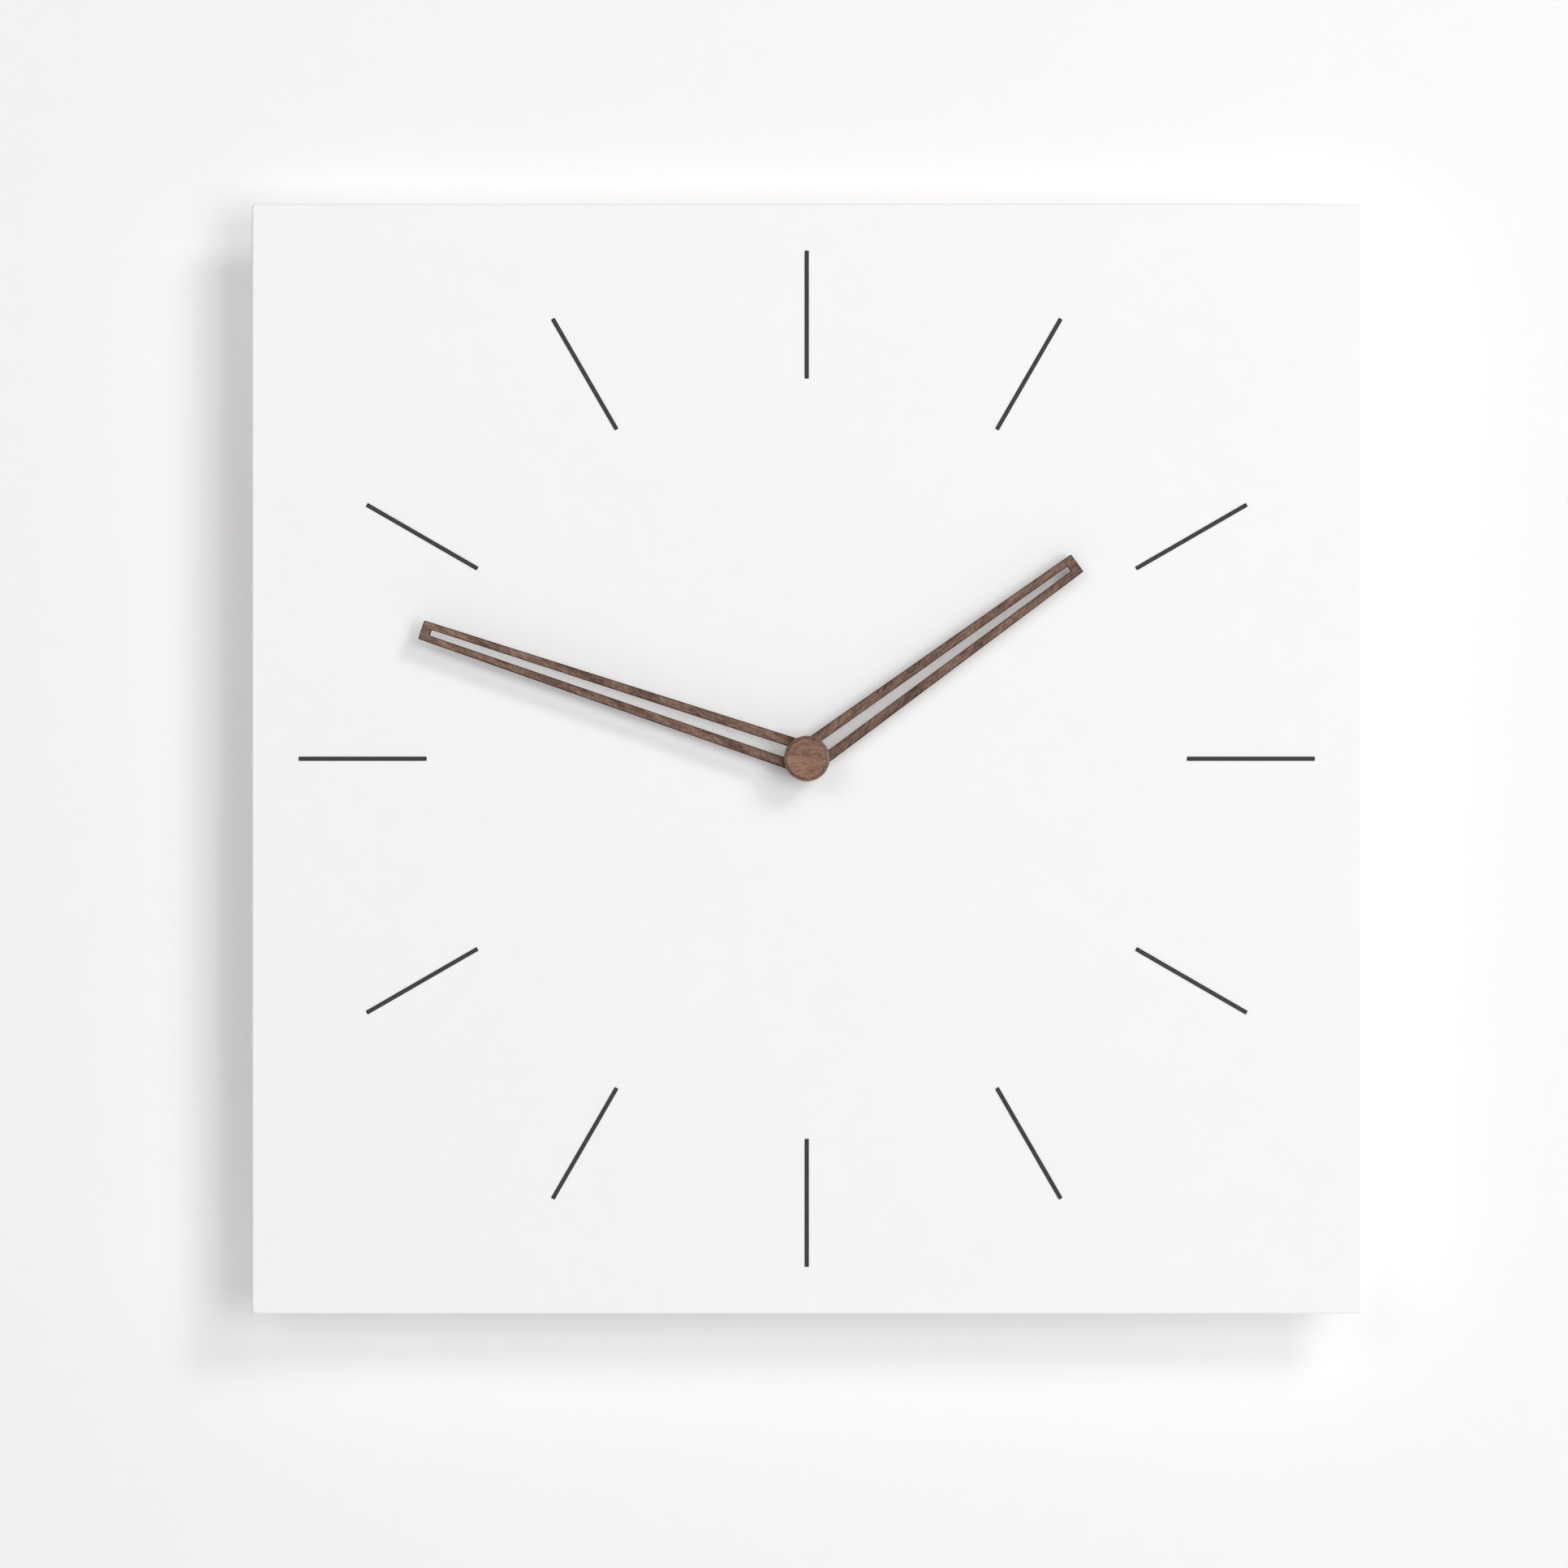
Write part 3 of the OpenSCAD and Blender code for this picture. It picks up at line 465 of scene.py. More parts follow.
print("stage")
stageLook = {
    "distance": 2.6,                     # camera to the panel's face
    "viewWidth": 0.5649,                 # what the view takes in at the panel's face
    "aim": (-0.0082, -0.0091),           # the view's centre, from the hands' axis
    "sensor": 36.0,
    "wallSide": 7,
    "wallTone": 0.93,
    "floorSide": 5.5,
    "floorTone": 0.80,
    "floorDrop": 1.1,
    "worldTone": (0.98, 0.99, 1.0),
    "worldPower": 0.04,
    "backdrop": (0.80, 0.81, 0.82),      # what the camera sees beyond the wall and the floor
}
lampLook = {                             # place, side and watts of each soft square lamp
    "upperRight": ((1.80, -2.0, 1.80), 1.1, 15.0),
    "nearRight": ((0.90, -2.0, 0.90), 1.1, 3.0),
    "farHigh": ((3.60, -4.0, 3.00), 1.8, 77.0),
    "farUpper": ((2.40, -4.0, 3.00), 1.8, 30.0),
    "farSide": ((2.40, -4.0, -0.10), 2.4, 70.0),
    "farFront": ((1.20, -4.0, 0.20), 2.4, 31.0),
    "left": ((-0.90, -2.0, 0.0), 1.1, 4.2),
    "nearLeft": ((-0.90, -2.0, 0.90), 1.1, 8.2),
    "upperLeft": ((-1.80, -2.0, 0.90), 1.1, 4.8),
    "behindLeft": ((-1.2, 1.9, 1.5), 1.4, 25.0),
    "behindRight": ((1.5, 1.8, 0.1), 1.4, 13.5),
}


def aimAt(item, target):
    item.rotation_euler = (Vector(target) - item.location).to_track_quat("-Z", "Y").to_euler()


def makeCamera():
    look = stageLook
    face = -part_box("dial_panel")[0].y
    bpy.ops.object.camera_add(
        location=(look["aim"][0], -face - look["distance"], look["aim"][1]),
        rotation=(math.pi / 2, 0, 0))
    camera = bpy.context.active_object
    camera.name = "dialCamera"
    camera.data.sensor_width = look["sensor"]
    camera.data.lens = look["sensor"] * look["distance"] / look["viewWidth"]
    camera.data.clip_end = 50
    bpy.context.scene.camera = camera


def addLamp(name):
    place, side, power = lampLook[name]
    bpy.ops.object.light_add(type="AREA", location=place)
    lamp = bpy.context.active_object
    lamp.name = name + "Lamp"
    lamp.data.shape = "SQUARE"
    lamp.data.size = side
    lamp.data.energy = power
    lamp.visible_camera = False
    aimAt(lamp, (place[0], 0, place[2]))


# plaster that is seen through from behind, so that the back of the clock can be looked at
def wallMaterial():
    material, tree, shader = startMaterial("wallPlaster", specular=0.15)
    tone = stageLook["wallTone"]
    first, second = (tone, tone, tone, 1), (tone * 0.995, tone * 0.995, tone * 0.995, 1)
    grit = useGroup(tree, "grit", {"Vector": placedOn(tree), "Size": 2.5})
    tree.links.new(mixColours(tree, grit["Tone"], first, second), shader.inputs["Base Color"])
    shader.inputs["Roughness"].default_value = 0.9
    clear = addNode(tree, "ShaderNodeBsdfTransparent")
    side = addNode(tree, "ShaderNodeNewGeometry").outputs["Backfacing"]
    mixed = addNode(tree, "ShaderNodeMixShader", {0: side, 1: shader.outputs[0], 2: clear.outputs[0]})
    end = next(n for n in tree.nodes if n.type == "OUTPUT_MATERIAL")
    tree.links.new(mixed.outputs[0], end.inputs["Surface"])
    return material


def makeStage():
    look = stageLook
    bpy.ops.mesh.primitive_plane_add(size=look["wallSide"], rotation=(math.pi / 2, 0, 0))
    wall = bpy.context.active_object
    wall.name = "wall"
    wall.visible_shadow = False
    wall.data.materials.append(wallMaterial())
    bpy.ops.mesh.primitive_plane_add(size=look["floorSide"], location=(0, 0, -look["floorDrop"]))
    floor = bpy.context.active_object
    floor.name = "floor"
    tone = look["floorTone"]
    floor.data.materials.append(gritMaterial(
        "paleFloor", (tone,) * 3, (tone * 0.97,) * 3, size=4.0, rough=(0.6, 0.75), bump=0.05))
    world = bpy.data.worlds.new("softRoom")
    world.use_nodes = True
    tree = world.node_tree
    dim = tree.nodes["Background"]
    dim.inputs["Color"].default_value = (*look["worldTone"], 1)
    dim.inputs["Strength"].default_value = look["worldPower"]
    pale = addNode(tree, "ShaderNodeBackground", {"Color": (*look["backdrop"], 1)})
    seen = addNode(tree, "ShaderNodeLightPath").outputs["Is Camera Ray"]
    both = addNode(tree, "ShaderNodeMixShader", {0: seen, 1: dim.outputs[0], 2: pale.outputs[0]})
    tree.links.new(both.outputs[0], tree.nodes["World Output"].inputs["Surface"])
    bpy.context.scene.world = world
    bpy.context.scene.view_settings.view_transform = "Standard"
    for name in lampLook:
        addLamp(name)


makeCamera()
makeStage()


print("panel")
panelLook = {
    "edgeRound": 0.9 * mm,
    "cornerRound": 1.2 * mm,
    "grooveGap": 0.06 * mm,              # shadow line round each mark
    "groundTone": (0.934, 0.928, 0.927),
    "mottleTone": (0.912, 0.906, 0.905),
    "boreRadius": 4.2 * mm,
}


def lacquerMaterial():
    look = panelLook
    material, tree, shader = startMaterial("whiteLacquer", specular=0.3)
    own = placedOn(tree)
    grit = useGroup(tree, "grit", {"Vector": own, "Size": 1.6})
    cloud = noiseOf(tree, scaled(tree, own, 26), 4.0, 0.6)
    share = weigh(tree, grit["Tone"], cloud, 0.5)
    tones = ((*look[tone], 1) for tone in ("groundTone", "mottleTone"))
    tree.links.new(mixColours(tree, share, *tones), shader.inputs["Base Color"])
    tree.links.new(rangeOf(tree, grit["Tone"], 0, 1, 0.5, 0.62), shader.inputs["Roughness"])
    bumpFrom(tree, shader, grit["Height"], 0.22, 0.03 * mm)
    return material


def makePanel():
    look = panelLook
    low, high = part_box("dial_panel")
    back, front = depthSpan("dial_panel")
    panel = addBox("dialPanel", low, high)
    roundCorners(panel, look["cornerRound"], 4)
    roundFront(panel, look["edgeRound"], 4)
    markLow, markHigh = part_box("hour_mark_12")
    grow = Vector((look["grooveGap"], 0, look["grooveGap"]))
    groove = addBox("groove", markLow - grow, markHigh + grow)
    grooves = [groove]
    for number in range(1, 12):
        grooves.append(ownCopy(groove, "groove"))
    for number, item in enumerate(grooves):
        turnAboutAxis(item, 30 * number)
    bore = addRod("bore", 0, 0, back - mm, front + mm, look["boreRadius"], 64)
    combine(panel, joinAll(grooves + [bore]))
    cleanMesh(panel)
    smoothShape(panel, 30)
    finishPiece(panel, clockBody, lacquerMaterial(), "dial_panel")


makePanel()


print("hour marks")
markLook = {
    "chamfer": 0.30 * mm,
    "endRound": 0.25 * mm,
    "faceTones": ((0.066, 0.059, 0.055), (0.046, 0.041, 0.038)),
    # the chamfers' darker tones are painted shade
    "paintedShadeTones": ((0.009, 0.008, 0.007), (0.015, 0.013, 0.012)),
}


def makeMarks():
    look = markLook
    face = gritMaterial(
        "darkBronze", *look["faceTones"], size=0.6, rough=(0.5, 0.64), bump=0.12, specular=0.25)
    # the darker bronze for the chamfers is painted shade
    edge = gritMaterial(
        "darkBronzePaintedShade", *look["paintedShadeTones"], size=0.6, rough=(0.6, 0.7), bump=0.1, specular=0.05)
    low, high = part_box("hour_mark_12")
    mark = addBox("hourMark_12", low, high)
    roundCorners(mark, look["endRound"], 3)
    roundFront(mark, look["chamfer"], 2)
    cleanMesh(mark, 0.0005 * mm)
    smoothShape(mark, 30)
    paintSides(mark, 0.95)
    marks = {12: mark}
    for number in range(1, 12):
        marks[number] = ownCopy(mark, "hourMark_%02d" % number)
        turnAboutAxis(marks[number], 30 * number)
    for number, item in marks.items():
        finishPiece(item, clockBody, [face, edge], "hour_mark_%02d" % number)


makeMarks()


print("hands")
walnutLook = {                           # dark, light and pore tones of each walnut; the last set is painted shade for sides, steps and grooves
    "hands": ((0.056, 0.027, 0.017), (0.320, 0.185, 0.130), (0.024, 0.011, 0.007)),
    "cap": ((0.140, 0.064, 0.039), (0.360, 0.198, 0.136), (0.060, 0.025, 0.015)),
    "edges": ((0.018, 0.009, 0.006), (0.040, 0.021, 0.014), (0.010, 0.005, 0.003)),
}
handLook = {
    "rootWidth": 11.7 * mm,
    "slotRoot": 4.3 * mm,
    "slotTip": 2.1 * mm,
    "slotStart": 7.2 * mm,
    "tipBar": 3.6 * mm,
    "hubRadius": 7.0 * mm,
    "slotRound": 0.25 * mm,
    "edgeWidth": 0.30 * mm,              # step along every edge of the face, its sides painted dark as shade
    "edgeDepth": 0.12 * mm,
    "roundShare": 3,                     # an inset outline's corners differ by the inset over this
    "facing": 0.97,                      # how squarely a face looks out to keep the plain wood
    "hour_hand": {
        "angle": 54.1, "length": 120 * mm, "tip": 7.6 * mm, "bore": 3.6 * mm, "slant": -17,
        "corner": 0.42 * mm, "body": "hour_body", "name": "hourHand"},
    "minute_hand": {
        "angle": 288.5, "length": 146 * mm, "tip": 7.0 * mm, "bore": 2.6 * mm, "slant": 12,
        "corner": 0.55 * mm, "body": "minute_body", "name": "minuteHand"},
}


# darker walnut put on sides, steps and grooves: painted shade
def walnutPaintedShade(name, turn):
    look = {"rough": (0.6, 0.75), "bump": 0.2, "shine": 0.12}
    return woodMaterial(name, walnutLook["edges"], turn, look=look)


# a bar from one height to another, with its own width at each end
def taperedBar(name, low, high, back, front, widthLow, widthHigh):
    bar = addBox(name, (-widthLow / 2, -front, low), (widthLow / 2, -back, high))
    middle = (low + high) / 2
    work = startEdit(bar, "VERT")
    for vert in work.verts:
        vert.select_set(vert.co.z > middle)
    bmesh.update_edit_mesh(bar.data)
    bpy.ops.transform.resize(value=(widthHigh / widthLow, 1, 1))
    endEdit()
    return bar


def widthAt(root, tip, length, place):
    return root + (tip - root) * place / length


# a hand's outline with its slot, drawn in by the same amount all round
def handBlank(name, own, back, front, inset):
    look, both, less = handLook, 2 * inset, inset / handLook["roundShare"]
    length, slotStart = own["length"] - inset, look["slotStart"] - inset
    slotEnd = own["length"] - look["tipBar"] + inset
    blank = taperedBar(name, 0, length, back, front, look["rootWidth"] - both, own["tip"] - both)
    pickEdges(blank, lambda place, along: abs(along.y) > 0.9 and place.z > length / 2)
    roundPicked(own["corner"] - less, 4)
    combine(blank, addRod("hub", 0, 0, back, front, look["hubRadius"] - inset, 64), "UNION")
    slotLow = widthAt(look["slotRoot"], look["slotTip"], slotEnd, slotStart) + both
    slot = taperedBar("slot", slotStart, slotEnd, back - mm, front + mm, slotLow, look["slotTip"] + both)
    roundCorners(slot, look["slotRound"] + less, 3)
    combine(blank, slot)
    return blank


def makeHand(node):
    look, own = handLook, handLook[node]
    back, front = depthSpan(node)
    ledge = front - look["edgeDepth"]
    hand = handBlank(own["name"], own, back, ledge, 0)
    combine(hand, handBlank("face", own, (back + front) / 2, front, look["edgeWidth"]), "UNION")
    combine(hand, addRod("bore", 0, 0, back - mm, front + mm, own["bore"], 64))
    cleanMesh(hand)
    smoothShape(hand, 35)
    # the face and the back keep the plain walnut; the ledge round the face and all sides get the darker
    # walnut as painted shade
    for face in hand.data.polygons:
        onFace = face.normal.y < -look["facing"] and -face.center.y > (ledge + front) / 2
        face.material_index = 0 if onFace or face.normal.y > look["facing"] else 1
    turnAboutAxis(hand, own["angle"])
    spin = (0, -math.radians(own["angle"] + own["slant"]), 0)
    wood = woodMaterial(own["name"] + "Walnut", walnutLook["hands"], spin, look={"wave": 0.35})
    finishPiece(hand, own["body"], [wood, walnutPaintedShade(own["name"] + "Edge", spin)], node)


for handNode in ("hour_hand", "minute_hand"):
    makeHand(handNode)

capLook = {
    "edgeRound": 0.80 * mm,
    "lineWidth": 0.20 * mm,
    "lineDepth": 0.14 * mm,
    "crown": 0.06 * mm,
    "backEase": 0.2 * mm,
    "boreRadius": 3.4 * mm,
    "boreGap": 0.4 * mm,
    "grainTurn": 0.05,
}


def makeCap():
    look = capLook
    back, front = depthSpan("centre_cap")
    low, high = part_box("centre_cap")
    radius, bend = (high.x - low.x) / 2, look["edgeRound"]
    boreFront = depthSpan("minute_arbor")[1] + look["boreGap"]
    rim, line = radius - bend, look["lineWidth"]
    shoulder = front - look["crown"]
    profile = [((rim - line) * k / 6, front - look["crown"] * (k / 6) ** 2) for k in range(7)]
    profile.append((rim - line / 2, shoulder - look["lineDepth"]))
    profile += [(rim + bend * math.sin(a), shoulder - bend * (1 - math.cos(a))) for a in quarterArc(6)]
    profile += [
        (radius, back + look["backEase"]), (radius - look["backEase"], back),
        (look["boreRadius"], back), (look["boreRadius"], boreFront), (0, boreFront)]
    cap = turnPiece("centreCap", profile, (0, 0, 0), steps=96)
    smoothShape(cap, 25)
    across = (0, math.pi / 2, 0)
    wood = woodMaterial("capWalnut", walnutLook["cap"], (0, math.pi / 2 + look["grainTurn"], 0), look={
        "fineness": 0.8, "wave": 1.2, "pores": 0.6})
    rimWood = woodMaterial("capRimWalnut", walnutLook["hands"], across, look={
        "wave": 1.0, "rough": (0.22, 0.34), "shine": 0.6})
    edge = walnutPaintedShade("capPaintedShade", across)
    # the groove line, the cap's side and the bore get the darker walnut as painted shade
    for face in cap.data.polygons:
        reach = math.hypot(face.center.x, face.center.z)
        outside = -face.normal.y > 0.15 and -face.center.y > boreFront + 0.5 * mm
        onLine = rim - line < reach < rim
        face.material_index = 2 if onLine or not outside else (0 if reach < rim else 1)
    finishPiece(cap, "minute_body", [wood, rimWood, edge], "centre_cap")


makeCap()


print("brass fittings")
brassLook = {
    "bright": (0.83, 0.62, 0.27),
    "dull": (0.66, 0.46, 0.17),
    "washerBore": 4.05 * mm,
    "brassRound": 0.08 * mm,
    "rubberRound": 0.2 * mm,
    "nutFlats": 12 * mm,
    "nutBore": 3.97 * mm,
    "handNutCorner": 3.1 * mm,
    "handNutBore": 1.5 * mm,
    "nutChamfer": 0.62,                  # share of the corner that is turned off
    "nutRound": 0.07 * mm,
}
threadLook = {
    "bore": 2.6 * mm,
    "radius": 3.95 * mm,
    "flange": 5.6 * mm,
    "flangeDepth": 0.7 * mm,
    "plainDepth": 0.2 * mm,              # between the case and the first groove
    "pitch": 0.75 * mm,
    "depth": 0.28 * mm,
    "tipEase": 0.3 * mm,
    "boreEase": 0.1 * mm,
}
handBushLook = {                         # bore and outer radius of each bush
    "flange": 5 * mm,
    "flangeDepth": 0.4 * mm,
    "ease": 0.1 * mm,
    "hour": (2.55 * mm, 3.6 * mm),
    "minute": (1.5 * mm, 2.6 * mm),
}
brass = turnedMaterial("turnedBrass", brassLook["bright"], brassLook["dull"])
zinc = turnedMaterial("zincSteel", (0.62, 0.63, 0.64), (0.48, 0.49, 0.51), rough=(0.24, 0.42), pitch=0.2)
rubber = gritMaterial("blackRubber", (0.030, 0.030, 0.031), (0.045, 0.045, 0.046), size=0.8,
                      rough=(0.7, 0.85), bump=0.3, specular=0.3)


def makeRing(name, node, material, edge):
    back, front = depthSpan(node)
    low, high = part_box(node)
    inner, outer = brassLook["washerBore"], (high.x - low.x) / 2
    profile = [
        (inner, back + edge), (inner + edge, back), (outer - edge, back), (outer, back + edge),
        (outer, front - edge), (outer - edge, front), (inner + edge, front), (inner, front - edge),
    ]
    ring = turnPiece(name, profile, (0, 0, 0), steps=72)
    easeEdges(ring, edge * 0.3, 30)
    smoothShape(ring, 30)
    finishPiece(ring, clockBody, material, node)


# a hexagon with its corners turned off, round a bore
def makeNut(name, node, body, corner, bore):
    look = brassLook
    back, front = depthSpan(node)
    nut = addRod(name, 0, 0, back, front, corner, 6)
    turnAboutAxis(nut, 30)
    rim, wide, past = corner * math.sqrt(3) / 2, corner + 0.1 * mm, 0.01 * mm
    bevel = (corner - rim) * look["nutChamfer"]
    turned = turnPiece("turned", [
        (0, back - past), (rim, back - past), (wide, back + bevel),
        (wide, front - bevel), (rim, front + past), (0, front + past)], (0, 0, 0), steps=72)
    combine(nut, turned, "INTERSECT")
    combine(nut, addRod("bore", 0, 0, back - mm, front + mm, bore, 48))
    cleanMesh(nut)
    easeEdges(nut, look["nutRound"], 30)
    smoothShape(nut, 30)
    finishPiece(nut, body, brass, node)


def makeThreadedBush():
    look = threadLook
    back, front = depthSpan("threaded_bush")
    inner, outer, flangeFront = look["bore"], look["radius"], back + look["flangeDepth"]
    profile = [(inner, back), (look["flange"], back), (look["flange"], flangeFront), (outer, flangeFront)]
    place = depthSpan("movement_case")[1] + look["plainDepth"]
    while place + look["pitch"] < front:
        profile += [(outer, place), (outer - look["depth"], place + look["pitch"] / 2)]
        place += look["pitch"]
    profile += [
        (outer, place), (outer - look["tipEase"], front),
        (inner + look["boreEase"], front), (inner, front - look["boreEase"])]
    bush = turnPiece("threadedBush", profile, (0, 0, 0), steps=72)
    smoothShape(bush, 25)
    finishPiece(bush, clockBody, brass, "threaded_bush")


def makeHandBush(hand):
    look, node = handBushLook, hand + "_hand_bush"
    (inner, outer), ease, flange = look[hand], look["ease"], look["flange"]
    back, front = depthSpan(node)
    flangeFront = back + look["flangeDepth"]
    profile = [
        (inner, back), (flange - ease, back), (flange, back + ease), (flange, flangeFront - ease),
        (flange - ease, flangeFront), (outer, flangeFront), (outer, front - ease), (outer - ease, front),
        (inner + ease, front), (inner, front - ease)]
    bush = turnPiece(hand + "Bush", profile, (0, 0, 0), steps=64)
    smoothShape(bush, 30)
    finishPiece(bush, hand + "_body", brass, node)


makeRing("brassWasher", "brass_washer", brass, brassLook["brassRound"])
makeRing("rubberWasher", "rubber_washer", rubber, brassLook["rubberRound"])
makeNut("hexNut", "hex_nut", clockBody, brassLook["nutFlats"] / math.sqrt(3), brassLook["nutBore"])
makeNut("handNut", "hand_nut", "minute_body", brassLook["handNutCorner"], brassLook["handNutBore"])
makeThreadedBush()
makeHandBush("hour")
makeHandBush("minute")


print("back frame")
level = (0, math.pi / 2, 0)
upright = (0, 0, 0)
railLook = {
    "edgeRound": 1.0 * mm,
    "tones": ((0.46, 0.27, 0.115), (0.70, 0.50, 0.29), (0.34, 0.18, 0.07)),
    "levelScrews": 105 * mm,             # each rail's two screws, from its middle
    "uprightScrews": 75 * mm,
    "figureShift": (0.9 * mm, 1.7 * mm),
    "frame_top_rail": ("topRail", level, 2.59 * mm),
    "frame_bottom_rail": ("bottomRail", level, 3.70 * mm),
    "frame_left_rail": ("leftRail", upright, 2.96 * mm),
    "frame_right_rail": ("rightRail", (0, 0, 0.4), 3.33 * mm),
}
screwLook = {
    "radius": 1.5 * mm,
    "head": 3.0 * mm,
    "sink": 1.5 * mm,
    "rimEase": (0.25 * mm, 0.05 * mm, 0.12 * mm),
    "core": 0.72,                        # share of the radius, between the threads
    "plain": 0.35,                       # share of the length, before the threads
    "pitch": 1.1 * mm,
    "point": 2.0 * mm,
    "pointGap": 0.2 * mm,
    "cross": (3.2 * mm, 0.62 * mm, 1.1 * mm),
    "firstTurn": 17,
    "turnStep": 41,
}
hangerLook = {
    "screwInset": 5 * mm,
    "holeDrop": 4 * mm,
    "slotRise": 8.5 * mm,
    "holeRadius": 4.5 * mm,
    "neckRadius": 2.1 * mm,
    "pocketRadius": 5.5 * mm,            # room behind the keyhole for the wall screw's head
    "pocketDepth": 8 * mm,
    "cornerRound": 1.2 * mm,
    "edgeRound": 0.14 * mm,
}


def pine(name, turn, shift):
    look = {"fineness": 0.32, "length": 0.16, "pores": 0.35, "wave": 1.1,
            "rough": (0.5, 0.68), "bump": 0.35}
    return woodMaterial(name, railLook["tones"], turn, (shift, *railLook["figureShift"]), look)


# two screws in each rail: first the level rails, then the upright ones
def screwPlaces():
    low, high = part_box("frame_top_rail")
    edge = (high.x - low.x) / 2 - (high.z - low.z) / 2
    along, up = railLook["levelScrews"], railLook["uprightScrews"]
    return [(x, z) for x in (-along, along) for z in (-edge, edge)] + \
           [(x, z) for x in (-edge, edge) for z in (-up, up)]


def plateScrewPlaces():
    low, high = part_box("hanger_plate")
    inset = hangerLook["screwInset"]
    return [(x, (low.z + high.z) / 2) for x in (low.x + inset, high.x - inset)]


def sinkCutter(x, z, back):
    head, shank, sink = screwLook["head"], screwLook["radius"], screwLook["sink"]
    far = back + 40 * mm
    return turnPiece("sink", [
        (0, back - mm), (head + mm, back - mm), (head, back), (shank, back + sink), (shank, far), (0, far)],
        (x, 0, z), steps=32)


# the keyhole plate's bed in the top rail, with the pocket behind its keyhole
def cutHangerBed(rail, back):
    look = hangerLook
    low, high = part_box("hanger_plate")
    radius, deep = look["pocketRadius"], look["pocketDepth"] - low.y
    hole = (low.z + high.z) / 2 - look["holeDrop"]
    top = hole + look["slotRise"]
    combine(rail, addBox("bed", low, high + Vector((0, mm, 0))))
    combine(rail, addRod("pocket", 0, hole, back - mm, deep, radius, 40))
    combine(rail, addRod("upper", 0, top, back - mm, deep, radius, 40))
    combine(rail, addBox("middle", (-radius, -deep, hole), (radius, mm - back, top)))


def makeRail(node):
    look = railLook
    name, turn, shift = look[node]
    low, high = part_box(node)
    back = depthSpan(node)[0]
    rail = addBox(name, low, high)
    pickEdges(rail, lambda place, along: True)
    roundPicked(look["edgeRound"], 3)
    cutters = [sinkCutter(x, z, back) for x, z in screwPlaces()
               if low.x < x < high.x and low.z < z < high.z]
    if node == "frame_top_rail":
        cutHangerBed(rail, back)
        cutters += [sinkCutter(x, z, back) for x, z in plateScrewPlaces()]
    combine(rail, joinAll(cutters))
    cleanMesh(rail)
    smoothShape(rail, 40)
    finishPiece(rail, clockBody, pine(name + "Pine", turn, shift), node)


for railNode in ("frame_top_rail", "frame_bottom_rail", "frame_left_rail", "frame_right_rail"):
    makeRail(railNode)


# a countersunk screw with a cross recess, its head flush with the given depth
def addScrew(x, z, back, length, number):
    look = screwLook
    head, shank, pitch = look["head"], look["radius"], look["pitch"]
    core, place, tip = shank * look["core"], back + length * look["plain"], back + length
    inset, ease, depth = look["rimEase"]
    profile = [(0, back), (head - inset, back), (head - ease, back + depth),
               (shank, back + look["sink"]), (shank, place)]
    while place + pitch < tip - look["point"] - look["pointGap"]:
        profile += [(core, place + pitch * 0.3), (shank, place + pitch * 0.55), (core, place + pitch * 0.8)]
        place += pitch
    profile += [(core, tip - look["point"]), (0, tip)]
    screw = turnPiece("screw", profile, (x, 0, z), steps=28)
    long, wide, deep = look["cross"]
    turn = math.radians(look["firstTurn"] + look["turnStep"] * number)
    for extra in (0, math.pi / 2):
        bar = addBox("bar", (-long / 2, -deep, -wide / 2), (long / 2, mm, wide / 2))
        bar.rotation_euler = (0, turn + extra, 0)
        bar.location = (x, -back, z)
        settle(bar)
        combine(screw, bar)
    cleanMesh(screw)
    smoothShape(screw, 30)
    return screw


def makeScrews(name, node, places, length):
    back = depthSpan(node)[0]
    joined = joinAll([addScrew(x, z, back, length, number) for number, (x, z) in enumerate(places)])
    joined.name = name
    finishPiece(joined, clockBody, zinc, node)


makeScrews("frameScrews", "frame_screws", screwPlaces(), 25 * mm)
makeScrews("hangerScrews", "hanger_screws", plateScrewPlaces(), 14 * mm)


def makeHangerPlate():
    look = hangerLook
    low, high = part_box("hanger_plate")
    back, front = depthSpan("hanger_plate")
    plate = addBox("hangerPlate", low, high)
    roundCorners(plate, look["cornerRound"], 4)
    hole, neck = (low.z + high.z) / 2 - look["holeDrop"], look["neckRadius"]
    top = hole + look["slotRise"]
    combine(plate, addRod("hole", 0, hole, back - mm, front + mm, look["holeRadius"], 64))
    combine(plate, addRod("neck", 0, top, back - mm, front + mm, neck, 48))
    combine(plate, addBox("slot", (-neck, -front - mm, hole), (neck, mm - back, top)))
    for x, z in plateScrewPlaces():
        combine(plate, sinkCutter(x, z, back))
    cleanMesh(plate)
    easeEdges(plate, look["edgeRound"], 40)
    smoothShape(plate, 30)
    sheet = brushedMaterial("zincPlate", (0.60, 0.61, 0.63), (0.45, 0.46, 0.48), turn=level)
    finishPiece(plate, clockBody, sheet, "hanger_plate")


bumperLook = {
    "radius": 5 * mm,
    "edgeRound": 1.0 * mm,
}


def makeBumpers():
    low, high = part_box("wall_bumpers")
    back, front = depthSpan("wall_bumpers")
    radius, bend = bumperLook["radius"], bumperLook["edgeRound"]
    rounding = [(radius - bend * (1 - math.sin(a)), back + bend * (1 - math.cos(a))) for a in quarterArc(4)]
    profile = [(0, back)] + rounding + [(radius, front), (0, front)]
    bumpers = []
    for x in (low.x + radius, high.x - radius):
        for z in (low.z + radius, high.z - radius):
            bumpers.append(turnPiece("bumper", profile, (x, 0, z), steps=48))
    joined = joinAll(bumpers)
    joined.name = "wallBumpers"
    smoothShape(joined, 35)
    finishPiece(joined, clockBody, rubber, "wall_bumpers")


makeHangerPlate()
makeBumpers()


